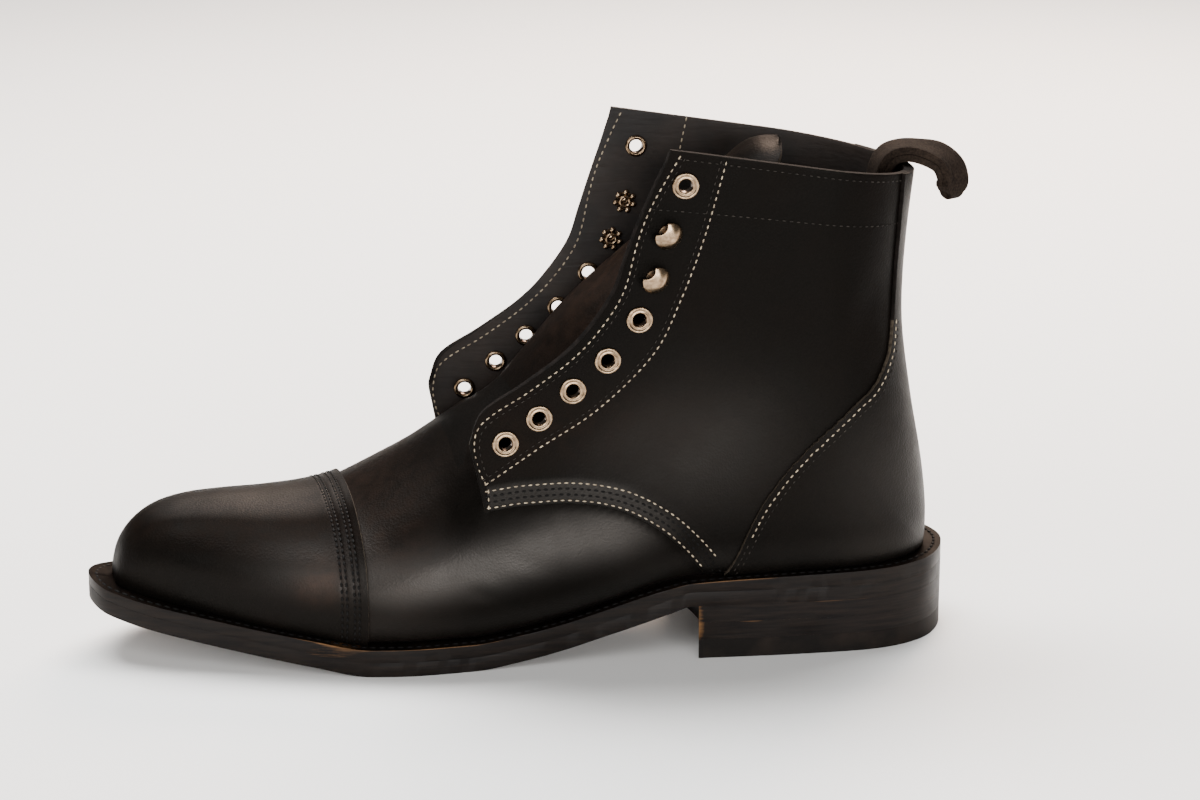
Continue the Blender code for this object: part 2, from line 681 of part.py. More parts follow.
def build_pull_loop(parent):
    """Doubled strap: out along one face of its middle line, round the bight and back along the other."""
    samples = np.array([row_at(LOOP_PATH, s) for s in shares(LOOP_STEPS, 0.0, len(LOOP_PATH) - 1)])
    along = np.gradient(samples[:, :2], axis=0)
    along /= np.linalg.norm(along, axis=1)[:, None]
    across = np.array([0.0, 1.0, 0.0])
    centres = []
    facings = []
    widths = []
    for (x, z, turn), (run, rise) in zip(samples, along):
        angle = math.radians(turn)
        upright = np.array([-rise, 0.0, run])
        centres.append(np.array([x, 0.0, z]))
        facings.append(upright * math.cos(angle) - across * math.sin(angle))
        widths.append(across * math.cos(angle) + upright * math.sin(angle))
    tip = np.array([along[-1][0], 0.0, along[-1][1]])
    bends = np.linspace(0, math.pi, 7)[1:-1]
    spans = np.array(widths + [widths[-1]] * len(bends) + widths[::-1]) * LOOP_WIDTH / 2
    faces = []
    for reach in (0.5 * LOOP_SLOT, 0.5 * LOOP_SLOT + LOOP_STRAP):
        line = [c + f * reach for c, f in zip(centres, facings)]
        line += [centres[-1] + reach * (facings[-1] * math.cos(a) + tip * math.sin(a)) for a in bends]
        line += [c - f * reach for c, f in zip(centres[::-1], facings[::-1])]
        faces.append([[p - span, p + span] for p, span in zip(line, spans)])
    add_object("pull_loop", closed_slab("pull_loop", faces[0], faces[1], False), "black_waxed_leather", parent)


def fastening_places():
    """Each lace hole: name, kind, centre on the leather's face and the way it faces."""
    for side, name in ((LATERAL, "outer"), (MEDIAL, "inner")):
        for number, (kind, *place) in enumerate(FASTENINGS, start=1):
            x, z = place[:2] if side == LATERAL else place[2:]
            s, v = quarter_at(x, z, side)
            centre = quarter_point(s, v, side)
            yield f"{kind}_{name}_{number}", kind, centre, normal_at(quarter_point, s, v, side)


def turned(bm, profile, centre, axis, closed):
    """Turn a profile of (radius, height) about an axis; a closed profile makes a ring."""
    axis = np.array(axis)
    first = np.cross(axis, (0.0, 0.0, 1.0))
    first /= np.linalg.norm(first)
    second = np.cross(axis, first)
    loops = []
    for k in range(ROUND_SIDES):
        angle = 2 * math.pi * k / ROUND_SIDES
        spoke = first * math.cos(angle) + second * math.sin(angle)
        loops.append([bm.verts.new((centre + spoke * r + axis * h) * MM) for r, h in profile])
    count = len(profile)
    for k in range(ROUND_SIDES):
        here = loops[k]
        there = loops[(k + 1) % ROUND_SIDES]
        for i in range(count if closed else count - 1):
            j = (i + 1) % count
            bm.faces.new([here[i], there[i], there[j], here[j]])
    if not closed:
        bm.faces.new([loop[0] for loop in loops])
        bm.faces.new([loop[-1] for loop in loops][::-1])


def finish_turned(name, bm, parent):
    bmesh.ops.recalc_face_normals(bm, faces=bm.faces)
    mesh = bpy.data.meshes.new(name)
    bm.to_mesh(mesh)
    bm.free()
    return add_object(name, mesh, "nickel", parent)


def lace_hole_cutter(parent):
    """Cylinders through the wall at every lace hole."""
    bm = bmesh.new()
    reach = 2 * WALL
    for _, _, centre, axis in fastening_places():
        turned(bm, [(HOLE_RADIUS, reach), (HOLE_RADIUS, -reach)], centre, axis, False)
    bmesh.ops.recalc_face_normals(bm, faces=bm.faces)
    mesh = bpy.data.meshes.new("lace_hole_cutter")
    bm.to_mesh(mesh)
    bm.free()
    cutter = add_object("lace_hole_cutter", mesh, "nickel", parent)
    cutter.hide_render = True
    cutter.display_type = "WIRE"
    return cutter


def build_fastenings(parent):
    """Eyelets set through the wall, and speed hooks riveted through it."""
    inside = -WALL - GAP
    outside = GAP
    eyelet = [
        (EYELET_BORE, outside + 0.6 * EYELET_RISE),
        (0.5 * (EYELET_BORE + EYELET_OUTER), outside + EYELET_RISE),
        (EYELET_OUTER, outside + 0.3 * EYELET_RISE),
        (EYELET_OUTER, outside),
        (EYELET_BARREL, outside),
        (EYELET_BARREL, inside),
        (EYELET_OUTER, inside),
        (EYELET_OUTER, inside - 0.3 * EYELET_RISE),
        (EYELET_BORE, inside - 0.6 * EYELET_RISE),
    ]
    hook = [
        (RIVET_RADIUS, inside - HOOK_FOOT),
        (HOOK_BASE + 0.5, inside - HOOK_FOOT),
        (HOOK_BASE + 0.5, inside),
        (RIVET_RADIUS, inside),
        (RIVET_RADIUS, outside),
        (HOOK_BASE + 0.5, outside),
        (HOOK_BASE, outside + HOOK_FOOT),
        (HOOK_STEM, outside + HOOK_FOOT),
        (HOOK_STEM, outside + HOOK_HEIGHT - HOOK_PLATE),
        (HOOK_HEAD, outside + HOOK_HEIGHT - HOOK_PLATE),
        (HOOK_HEAD, outside + HOOK_HEIGHT),
    ]
    for name, kind, centre, axis in fastening_places():
        bm = bmesh.new()
        turned(bm, eyelet if kind == "eyelet" else hook, centre, axis, kind == "eyelet")
        finish_turned(name, bm, parent)


def main():
    for old in list(bpy.data.objects):
        bpy.data.objects.remove(old, do_unlink=True)
    boot = bpy.data.objects.new("boot", None)
    bpy.context.scene.collection.objects.link(boot)
    build_sole(boot)
    build_heel(boot)
    build_upper(boot)
    build_toe_cap(boot)
    build_counter(boot)
    build_seam_bands(boot)
    build_tongue(boot)
    build_pull_loop(boot)
    build_fastenings(boot)


main()
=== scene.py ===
"""Looks of the cap-toe boot: leather, thread, nickel and dressed sole edges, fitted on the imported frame.

Lengths are in millimetres until a mesh is made. The toe points along -X, the outer (lateral) side of the
foot is -Y, the inner (medial) side is +Y, and +Z is up.
"""
import math

import bmesh
import bpy
import numpy as np
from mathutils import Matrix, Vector


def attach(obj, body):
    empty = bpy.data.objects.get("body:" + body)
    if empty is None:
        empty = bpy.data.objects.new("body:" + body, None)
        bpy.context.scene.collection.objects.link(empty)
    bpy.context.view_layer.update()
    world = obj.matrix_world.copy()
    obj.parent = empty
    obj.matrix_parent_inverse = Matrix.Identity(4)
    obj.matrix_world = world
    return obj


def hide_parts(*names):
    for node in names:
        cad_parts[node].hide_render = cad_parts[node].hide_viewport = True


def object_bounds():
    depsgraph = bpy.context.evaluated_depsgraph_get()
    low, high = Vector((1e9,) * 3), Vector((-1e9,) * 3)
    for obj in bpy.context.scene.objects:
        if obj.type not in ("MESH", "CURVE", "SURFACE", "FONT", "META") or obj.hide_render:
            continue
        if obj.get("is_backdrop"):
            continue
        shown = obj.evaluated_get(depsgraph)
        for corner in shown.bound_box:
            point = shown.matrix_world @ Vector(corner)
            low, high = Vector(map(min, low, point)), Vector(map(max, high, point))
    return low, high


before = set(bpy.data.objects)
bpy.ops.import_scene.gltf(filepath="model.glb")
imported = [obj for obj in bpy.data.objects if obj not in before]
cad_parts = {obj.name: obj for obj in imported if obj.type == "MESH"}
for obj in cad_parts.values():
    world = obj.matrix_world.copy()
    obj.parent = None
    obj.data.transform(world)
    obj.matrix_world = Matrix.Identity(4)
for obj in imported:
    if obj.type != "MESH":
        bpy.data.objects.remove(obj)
CAD_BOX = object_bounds()
BODY = "root"

MM = 0.001
LATERAL = -1
MEDIAL = 1
SIDES = (LATERAL, MEDIAL)
SIDE_NAMES = ((LATERAL, "outer"), (MEDIAL, "inner"))

# Camera: the photograph's view, worked out from the sole, the heel and the lace holes
PHOTO_WIDTH = 1200
LENS = 96.0
SENSOR = 36.0
CAMERA_AT = (-240.0, -1066.0, 416.0)
CAMERA_TO = (-109.4, 0.0, 87.9)
FRAME_SHIFT_PIXELS = 82.7

# Leather and sole thicknesses
WALL = 2.2
LAYER = 1.5
BAND_LAYER = 1.3
TONGUE_THICKNESS = 2.0
INSOLE_THICKNESS = 3.2
INSOLE_INSET = 4.2
OUTSOLE_THICKNESS = 5.2
GAP = 0.3
FOOT_GAP = 0.8

# Welt: how far it stands out from the foot of the upper, and how far it reaches in under it
WELT_REACH = 6.6
WELT_TOE_EXTRA = 2.6
WELT_TOE_FROM = -200.0
WELT_HEEL_EXTRA = 1.6
WELT_HEEL_FROM = 0.0
WELT_UNDER = 6.0
WELT_EDGE = 0.05

# Heel stack
HEEL_BREAST_X = -49.8
HEEL_BREAST_HOLLOW = 7.0
PALE_LINE = 0.6
HEEL_SCUFFS = (
    # share, x, z, length, breadth
    (0.7, -3, 19.5, 26, PALE_LINE),
    (0.8, -31, 13.3, 6, PALE_LINE),
    (0.8, 38, 13.3, 4, PALE_LINE),
)
HEEL_CORNER = ((1.3, HEEL_BREAST_X, 13.0, 2.2, 8.0),)
HEEL_LIFTS = (
    # name, bottom z, top z
    ("heel_top_piece", 0, 6.6),
    ("heel_lift_lower", 6.9, 13),
    ("heel_lift_upper", 13.3, 19.2),
)

# Plan of the sole: a row for each station from toe to heel, with the two ends on their own
SOLE_TIP = (-261.0, 11.5)
SOLE_REAR = (44.3, 0.0)
SOLE_PLAN = (
    # x, lateral y, medial y
    (-257.5, 0.5, 23),
    (-249.5, -6, 32),
    (-237, -12, 42),
    (-218, -18.5, 52.5),
    (-185, -28.5, 65),
    (-154, -34, 66),
    (-125, -32.5, 53),
    (-90, -31, 35.5),
    (-52, -31.8, 31.4),
    (-20, -33, 32.5),
    (12, -32.3, 31.8),
    (30, -26, 25.6),
    (40, -15, 14.8),
)

# Side profile of the sole: toe spring, ball flat on the floor, arched waist, seat of the heel
SOLE_PROFILE = (
    # x, underside z, top of the welt z
    (-261, 19.6, 28.4),
    (-254, 16.8, 25.8),
    (-221, 9.6, 19),
    (-185, 3.2, 12.8),
    (-165, 0, 9.8),
    (-130, 0, 9.8),
    (-112, 2.4, 12.2),
    (-98, 5.4, 15),
    (-84, 9.4, 19),
    (-70, 13.7, 23.4),
    (-60, 17, 26.2),
    (-52, 19.5, 27.9),
    (-20, 19.5, 29.2),
    (44.3, 19.5, 30.4),
)

# Vamp: a row for each section from the tip of the toe to the throat, standing on the welt
VAMP_COLUMNS = ("ridge_x", "ridge_y", "ridge_z", "lean", "skew", "bulge",
                "out_lateral", "out_medial", "swell_medial", "round")
VAMP = (
    (-251, 11.5, 25, 0, -0.12, 0.40, 0, 0, 0, 2),
    (-250.2, 12, 32.5, 0.4, -0.12, 0.42, 0.6, 0.6, 0, 2.1),
    (-247.6, 13.5, 39.2, 0.8, -0.12, 0.44, 1.4, 1.4, 0, 2.2),
    (-242.2, 15.5, 44.6, 1, -0.12, 0.46, 2.2, 2.2, 0, 2.3),
    (-234.5, 18, 48, 1, -0.12, 0.46, 3, 3, 0, 2.3),
    (-224, 20, 49.6, 0.8, -0.11, 0.45, 3.6, 3.4, 0, 2.2),
    (-210, 20, 50, 0.5, -0.10, 0.43, 4.2, 3.6, 0, 2.1),
    (-196, 19, 49.9, 0.2, -0.09, 0.41, 4.6, 3.6, 0, 2.1),
    (-181.5, 17.5, 50.9, 0, -0.08, 0.41, 5.2, 3.6, 0, 2.1),
    (-169.8, 16.5, 54, 0, -0.07, 0.42, 5.8, 3.6, 0, 2.05),
    (-158.5, 15, 60.2, 0, -0.07, 0.44, 6.8, 3, 0.4, 2),
    (-146, 13, 67.8, -0.5, -0.075, 0.48, 8.4, 1.2, 2, 2),
    (-135, 11, 76.2, -1, -0.08, 0.52, 10.4, -1.4, 3.6, 2),
    (-123, 9, 86, -2.3, -0.087, 0.56, 12.8, -4.4, 5, 2),
)
CAP_ROW = 9.1
THROAT_TUCK = 3.0
TUCK_FIRST_ROW = 11.0
TUCK_FROM = 0.5625
TUCK_SHARE = 0.12
THROAT_RETURN = 0.35
FACING_END = 0.93

# Quarters and shaft: a row for each section, fanned from the upright throat to the level collar.
# The foot of a section runs along the welt to the heel, then up the back seam.
QUARTER_COLUMNS = ("foot_x", "back_z", "front_x", "front_z", "skew", "bulge",
                   "side_lateral", "side_medial", "edge_lateral", "edge_medial", "swell_medial", "bend")
QUARTER = (
    (-124.5, 0, -134.2, 85, -0.087, 0.58, -39, 42, -38.6, 39, 5, 2),
    (-109, 0, -129.4, 96, -0.087, 0.52, -38.8, 40.8, -38.4, 38.6, 4, 1.5),
    (-88, 0, -115.2, 105, -0.087, 0.48, -37.6, 39.2, -38, 38.2, 2.6, 1.1),
    (-60, 0, -101.2, 114.6, -0.085, 0.46, -36.2, 37.4, -37.8, 38, 1.2, 1),
    (-28, 0, -91.4, 124.6, -0.08, 0.46, -35, 35.4, -37.6, 37.8, 0.4, 1),
    (6, 0, -83.4, 136.6, -0.075, 0.46, -34.4, 34.4, -37.4, 37.6, 0, 1),
    (28, 0, -79.6, 148, -0.075, 0.46, -34.2, 34.2, -37.4, 37.6, 0, 1),
    (36.1, 31, -76.6, 157, -0.08, 0.46, -34.4, 34.4, -37.4, 37.6, 0, 1),
    (35, 55, -73.2, 166, -0.09, 0.46, -34.8, 34.8, -37.4, 37.6, 0, 1),
    (29, 86, -70.5, 172.8, -0.10, 0.45, -35.4, 35.4, -37.4, 37.6, 0, 1),
    (24.6, 116, -68.8, 177.2, -0.11, 0.44, -36, 36, -37.4, 37.6, 0, 1),
    (25, 142, -67.4, 180.8, -0.115, 0.43, -36.6, 36.6, -37.4, 37.6, 0, 1),
    (27.4, 169, -66.4, 184.2, -0.12, 0.42, -37, 37, -37.2, 37.4, 0, 1),
)
HEEL_ROW = 7
COLLAR_ROW = len(QUARTER) - 1.0

# Counter and backstay: front edge of the layer, rising from the welt to the collar
COUNTER_EDGE = (
    # z, x
    (24, -45),
    (32, -39),
    (55, -28.7),
    (73, -15),
    (89.6, 2.8),
    (99.3, 13),
    (110, 17.5),
    (127, 19),
    (150, 20),
    (190, 21.5),
)

# Lower edge of the quarter where it is sewn over the vamp
SEAM_EDGE = (
    # x, z
    (-124, 60.5),
    (-112, 61.6),
    (-100, 61.5),
    (-90, 60.4),
    (-79, 57.5),
    (-65, 49.5),
    (-56, 41),
    (-49.5, 33),
)

# Tongue: a row for each section from under the vamp to its round top
TONGUE_COLUMNS = ("x", "z", "y", "half_width", "drop")
TONGUE = (
    (-132, 73.9, 10, 13, 4.2),
    (-123, 81.9, 9, 16, 5.4),
    (-113, 95.4, 7, 21, 6.8),
    (-93, 119.6, 4, 27, 7.6),
    (-71, 139.6, 1.5, 29, 8.4),
    (-50, 157.6, 0, 29, 8.6),
    (-36.5, 170.6, 0, 25.5, 7),
    (-27, 177.9, 0, 21.5, 6.5),
    (-17.5, 179.4, 0, 21.5, 8),
)

# Pull loop: middle line of the doubled strap, from inside the collar up and over to its hanging bight,
# and the turn of the strap about that line in degrees
LOOP_PATH = (
    # x, z, turn
    (17.4, 150, 0),
    (18, 160, 0),
    (18.8, 167, 0),
    (21.8, 171.7, 0),
    (27.4, 173.2, 2),
    (34, 172.2, 10),
    (40, 170, 24),
    (44, 165.6, 40),
    (45, 161.2, 48),
    (44.8, 157.8, 50),
)
LOOP_WIDTH = 13.0
LOOP_STRAP = 2.2
LOOP_SLOT = 0.9
LOOP_PRESSED = 0.1

# Lace holes on both facings, from the lowest up
FASTENINGS = (
    # kind, outer x, outer z, inner x, inner z
    ("eyelet", -118.1, 84.3, -123.9, 82.5),
    ("eyelet", -106.4, 92.5, -112.6, 92.5),
    ("eyelet", -94.8, 101.7, -101.6, 101.7),
    ("eyelet", -82.8, 111.8, -90, 112),
    ("eyelet", -71.9, 125.6, -79.1, 124.5),
    ("hook", -66.6, 139.7, -70.9, 136.7),
    ("hook", -62.4, 155, -66, 150.2),
    ("eyelet", -56.6, 171.8, -62, 170),
)
HOLE_RADIUS = 3.45
HOLE_FINE = 28
TAB_FRONT_FINE = 40
SHARE_STEP = 0.02

# How finely the surfaces are drawn
VAMP_FINE = 104
QUARTER_BELOW = 98
QUARTER_ABOVE = 70
ACROSS_FINE = 64
PLAN_FINE = 260
DENSE = 1200
MERGE = 0.01
RIM_MERGE = 0.05
SLIVER = 0.001
SHARP = 40.0
BEVEL_ANGLE = 48.0

# How places on the quarter are searched for
SEARCH_ROWS = (0.2, 0.4)
SEARCH_SHARES = (0.15, 0.1)
SEARCH_ROUNDS = 12
SEARCH_STEP = 1e-3
ROW_MOVE = 0.5
SHARE_MOVE = 0.1
ROW_STEP = 0.02


# The boot's surfaces, worked out from the tables

def row_at(table, s):
    """Smooth (Catmull-Rom) row of a table at the row number s."""
    rows = np.asarray(table, dtype=float)
    last = len(rows) - 1
    i = int(min(max(math.floor(s), 0), last - 1))
    t = s - i
    p1 = rows[i]
    p2 = rows[i + 1]
    p0 = rows[i - 1] if i > 0 else 2 * p1 - p2
    p3 = rows[i + 2] if i + 2 <= last else 2 * p2 - p1
    return 0.5 * (2 * p1 + (p2 - p0) * t + (2 * p0 - 5 * p1 + 4 * p2 - p3) * t ** 2
                  + (3 * p1 - p0 - 3 * p2 + p3) * t ** 3)


def named_row(columns, table, s):
    return dict(zip(columns, row_at(table, s)))


def smooth_path(points, count):
    """Evenly numbered points on the smooth curve through a list of points."""
    return np.array([row_at(points, s) for s in np.linspace(0, len(points) - 1, count)])


def level_curve(table, at, column=1):
    """Monotone cubic through a two-column (or wider) table, which keeps flat stretches flat."""
    x = np.array([row[0] for row in table], dtype=float)
    y = np.array([row[column] for row in table], dtype=float)
    step = np.diff(x)
    slope = np.diff(y) / step
    tangent = np.zeros_like(x)
    tangent[0] = slope[0]
    tangent[-1] = slope[-1]
    for i in range(1, len(x) - 1):
        if slope[i - 1] * slope[i] > 0:
            tangent[i] = 2 * slope[i - 1] * slope[i] / (slope[i - 1] + slope[i])
    i = int(np.clip(np.searchsorted(x, at) - 1, 0, len(x) - 2))
    t = min(max((at - x[i]) / step[i], 0.0), 1.0)
    h00 = 2 * t ** 3 - 3 * t ** 2 + 1
    h10 = t ** 3 - 2 * t ** 2 + t
    h01 = 3 * t ** 2 - 2 * t ** 3
    h11 = t ** 3 - t ** 2
    return h00 * y[i] + h10 * step[i] * tangent[i] + h01 * y[i + 1] + h11 * step[i] * tangent[i + 1]


def dense_line(table, column=1):
    """A level curve sampled closely, for quick reading."""
    at = np.linspace(table[0][0], table[-1][0], DENSE)
    return at, np.array([level_curve(table, a, column) for a in at])


UNDERSIDE_LINE = dense_line(SOLE_PROFILE, 1)
WELT_LINE = dense_line(SOLE_PROFILE, 2)
COUNTER_LINE = dense_line(COUNTER_EDGE)
SEAM_LINE = dense_line(SEAM_EDGE)


def underside(x):
    return np.interp(x, *UNDERSIDE_LINE)


def welt_top(x):
    return np.interp(x, *WELT_LINE)


def ease(share):
    """Smooth step from 0 to 1."""
    share = np.clip(share, 0.0, 1.0)
    return share * share * (3 - 2 * share)


def ramp(value, start, end):
    """Smooth rise from 0 at start to 1 at end."""
    return ease((value - start) / (end - start))


def sole_half(side, count):
    """One half of the sole's outline from the toe's tip to the rear of the heel."""
    column = 1 if side == LATERAL else 2
    other = 3 - column
    rows = [SOLE_TIP] + [(row[0], row[column]) for row in SOLE_PLAN] + [SOLE_REAR]
    before = (SOLE_PLAN[0][0], SOLE_PLAN[0][other])
    after = (SOLE_PLAN[-1][0], SOLE_PLAN[-1][other])
    padded = [before] + rows + [after]
    return np.array([row_at(padded, 1 + u) for u in np.linspace(0, len(rows) - 1, count + 1)])


def welt_reach(x):
    """The welt stands out a little more round the toe and behind the heel."""
    toe = ramp(x, WELT_TOE_FROM, SOLE_TIP[0])
    heel = ramp(x, WELT_HEEL_FROM, SOLE_REAR[0])
    return WELT_REACH + WELT_TOE_EXTRA * toe + WELT_HEEL_EXTRA * heel


def inset_half(side, count, inset):
    """The sole's outline moved inwards; inset is a number or a function of x."""
    points = sole_half(side, count)
    ahead = sole_half(-side, count)
    ring = np.vstack([ahead[1][None], points, ahead[-2][None]])
    tangent = ring[2:] - ring[:-2]
    tangent /= np.linalg.norm(tangent, axis=1)[:, None]
    normal = np.stack([-tangent[:, 1], tangent[:, 0]], axis=1) * -side
    distance = inset(points[:, 0]) if callable(inset) else np.full(len(points), inset)
    return points + normal * distance[:, None]


FOOT_LINE = {side: inset_half(side, DENSE, welt_reach) for side in SIDES}


def foot_point(side, x, skew, about_y):
    """Where a section's line crosses the foot of the upper on one side."""
    line = FOOT_LINE[side]
    along = line[:, 0] - skew * (line[:, 1] - about_y)
    order = np.argsort(along)
    return float(np.interp(x, along[order], line[order, 1]))


def section_curve(v, foot, side, edge, bulge, roundness, swell):
    """Width y and height share h of a section: out from the foot, then over to the ridge or front edge."""
    low = np.minimum(v, 0.5) * math.pi
    high = np.maximum(v - 0.5, 0.0) * math.pi
    power = 2.0 / roundness
    across = np.clip(np.cos(high), 0.0, 1.0) ** power
    rise = np.clip(np.sin(high), 0.0, 1.0) ** power
    y_low = foot + (side - foot) * np.sin(low) + swell * np.sin(2 * low)
    y = np.where(v <= 0.5, y_low, edge + (side - edge) * across)
    h = np.where(v <= 0.5, bulge * (1 - np.cos(low)), bulge + (1 - bulge) * rise)
    return y, h


def throat_tuck(s, v):
    """How far the vamp is tucked in under the facings, near the throat and above their lower corners."""
    near_throat = ramp(s, TUCK_FIRST_ROW, len(VAMP) - 1)
    above = np.maximum(v - TUCK_FROM, 0.0)
    tucked = np.cos(np.maximum(v - 0.5, 0.0) * math.pi)
    return THROAT_TUCK * near_throat * ease(above / TUCK_SHARE) * tucked


def vamp_line(s, v, side):
    """Points of the vamp's section at row s, for an array of shares v."""
    row = named_row(VAMP_COLUMNS, VAMP, s)
    foot_x = row["ridge_x"] + row["lean"]
    foot = foot_point(side, foot_x, row["skew"], row["ridge_y"])
    out = row["out_lateral"] if side == LATERAL else row["out_medial"]
    swell = 0.0 if side == LATERAL else row["swell_medial"]
    y, h = section_curve(v, foot, foot + side * out, row["ridge_y"], row["bulge"], row["round"], swell)
    y = y - side * throat_tuck(s, v)
    x = foot_x + (row["ridge_x"] - foot_x) * h + row["skew"] * (y - row["ridge_y"])
    low = welt_top(x) + FOOT_GAP
    ridge = np.maximum(row["ridge_z"], low)
    return np.stack([x, y, low + (ridge - low) * h], axis=-1)


def quarter_line(s, v, side):
    """Points of the quarter's section at row s, for an array of shares v."""
    row = named_row(QUARTER_COLUMNS, QUARTER, s)
    name = "lateral" if side == LATERAL else "medial"
    on_back = s >= HEEL_ROW
    foot = 0.0 if on_back else foot_point(side, row["foot_x"], row["skew"], 0.0)
    swell = 0.0 if side == LATERAL else row["swell_medial"]
    y, h = section_curve(v, foot, row["side_" + name], row["edge_" + name], row["bulge"], 2.0, swell)
    x = row["foot_x"] + (row["front_x"] - row["foot_x"]) * h ** row["bend"] + row["skew"] * y
    seat = welt_top(row["foot_x"] + row["skew"] * y) + FOOT_GAP
    low = row["back_z"] if on_back else seat
    return np.stack([x, y, low + (row["front_z"] - low) * h], axis=-1)


def point_at(line, s, v, side):
    return line(s, np.array([v]), side)[0]


def normal_at(line, s, v, side):
    """Outward normal of the upper's surface, by small differences."""
    dv = 0.5 * ROW_STEP
    before = s if s >= HEEL_ROW > s - ROW_STEP else s - ROW_STEP
    along = point_at(line, s + ROW_STEP, v, side) - point_at(line, before, v, side)
    up = point_at(line, s, min(v + dv, 1.0), side) - point_at(line, s, max(v - dv, 0.0), side)
    normal = np.cross(along, up) * -side
    return normal / np.linalg.norm(normal)


def quarter_at(x, z, side=LATERAL, start=None):
    """The row number and share of the quarter's section that lie at x and z, by Newton's method."""
    if start is None:
        rows = np.arange(SEARCH_ROWS[0], COLLAR_ROW, SEARCH_ROWS[1])
        tries = [(s, v) for s in rows for v in np.arange(SEARCH_SHARES[0], 1.0, SEARCH_SHARES[1])]
        start = min(tries, key=lambda p: np.sum((point_at(quarter_line, *p, side)[[0, 2]] - (x, z)) ** 2))
    s, v = start
    step = SEARCH_STEP
    for _ in range(SEARCH_ROUNDS):
        here = point_at(quarter_line, s, v, side)[[0, 2]]
        ds = (point_at(quarter_line, s + step, v, side)[[0, 2]] - here) / step
        dv = (point_at(quarter_line, s, v + step, side)[[0, 2]] - here) / step
        move = np.linalg.solve(np.stack([ds, dv], axis=1), np.array([x, z]) - here)
        s = float(np.clip(s + np.clip(move[0], -ROW_MOVE, ROW_MOVE), 0.0, COLLAR_ROW))
        v = float(np.clip(v + np.clip(move[1], -SHARE_MOVE, SHARE_MOVE), 0.0, 1.0 - step))
    return s, v


def tab_front(side):
    """Heights and places along the front edge of a quarter."""
    line = quarter_line(0.0, np.linspace(0.5, 1.0, TAB_FRONT_FINE), side)
    return line[:, 2], line[:, 0]


TAB_FRONT = {side: tab_front(side) for side in SIDES}


# Meshes and pieces

def patch(line, stations, shares, side):
    """Grid of points of one surface: a line for each station."""
    return np.array([line(s, shares, side) for s in stations])


def grid_normals(grid, side):
    """Outward normals of a point grid whose lines run up one side of the boot."""
    along = np.gradient(grid, axis=0)
    up = np.gradient(grid, axis=1)
    normal = np.cross(along, up) * -side
    length = np.linalg.norm(normal, axis=2, keepdims=True)
    return normal / np.maximum(length, 1e-9)


def sheet(name, patches, merge=MERGE, outward=False):
    """One surface from point grids with their shared rims merged; a flip turns a grid's faces over."""
    bm = bmesh.new()
    for grid, flip, tag in patches:
        made = [[bm.verts.new(np.asarray(p) * MM) for p in line] for line in grid]
        for i in range(len(made) - 1):
            for j in range(len(made[i]) - 1):
                quad = [made[i][j], made[i + 1][j], made[i + 1][j + 1], made[i][j + 1]]
                face = bm.faces.new(quad[::-1] if flip else quad)
                face.material_index = tag
    bmesh.ops.remove_doubles(bm, verts=bm.verts, dist=merge * MM)
    bmesh.ops.dissolve_degenerate(bm, edges=bm.edges, dist=SLIVER * MM)
    return to_mesh(name, bm, outward)


def to_mesh(name, bm, outward=False):
    if outward:
        bmesh.ops.recalc_face_normals(bm, faces=bm.faces)
    mesh = bpy.data.meshes.new(name)
    bm.to_mesh(mesh)
    bm.free()
    mesh.shade_smooth()
    return mesh


def slab(name, low, high, flip, rim=0):
    """Closed body between two point grids of one shape; rim is the finish of its edges."""
    patches = [
        (high, flip, 0),
        (low, not flip, 0),
        ([low[0], high[0]], not flip, rim),
        ([low[-1], high[-1]], flip, rim),
        ([[line[0] for line in low], [line[0] for line in high]], flip, rim),
        ([[line[-1] for line in low], [line[-1] for line in high]], not flip, rim),
    ]
    return sheet(name, patches, outward=True)


def new_piece(name, mesh, *finishes):
    piece = bpy.data.objects.new(name, mesh)
    bpy.context.scene.collection.objects.link(piece)
    for finish in finishes:
        mesh.materials.append(finish)
    return piece


def thicken(piece, thickness, offset, inner=0, rim=0):
    """Give a surface its leather thickness, inwards (-1) or outwards (1)."""
    solid = piece.modifiers.new("thickness", "SOLIDIFY")
    solid.thickness = thickness * MM
    solid.offset = offset
    solid.use_even_offset = False
    solid.material_offset = inner
    solid.material_offset_rim = rim


def round_edges(piece, width, segments=2, angle=BEVEL_ANGLE):
    bevel = piece.modifiers.new("rounded_edges", "BEVEL")
    bevel.width = width * MM
    bevel.segments = segments
    bevel.limit_method = "ANGLE"
    bevel.angle_limit = math.radians(angle)
    bevel.use_clamp_overlap = True


def settle(piece, sharp=SHARP):
    """Turn a piece with modifiers into a plain mesh."""
    graph = bpy.context.evaluated_depsgraph_get()
    mesh = bpy.data.meshes.new_from_object(piece.evaluated_get(graph))
    piece.modifiers.clear()
    piece.data = mesh
    mesh.shade_smooth()
    mesh.set_sharp_from_angle(angle=math.radians(sharp))
    return piece


def hand_over(piece, slot, *nodes):
    """Fix a finished piece on the boot and hide the solids that it stands for; the slot is not used."""
    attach(piece, BODY)
    if nodes:
        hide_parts(*nodes)
    return piece


def read_points(mesh):
    """Places of a mesh's points in millimetres, and their normals."""
    found = []
    for field in ("co", "normal"):
        values = np.zeros(len(mesh.vertices) * 3)
        mesh.vertices.foreach_get(field, values)
        found.append(values.reshape(-1, 3))
    return found[0] / MM, found[1]


def move_points(mesh, places):
    mesh.vertices.foreach_set("co", (places * MM).ravel())
    mesh.update()


def paint(piece, **layers):
    """Store numbers at each point of a piece, from its place in millimetres and its normal."""
    places, normals = read_points(piece.data)
    for name, shade in layers.items():
        layer = piece.data.attributes.new(name, "FLOAT", "POINT")
        layer.data.foreach_set("value", np.clip(shade(places, normals), 0.0, 1.0).astype(np.float32))


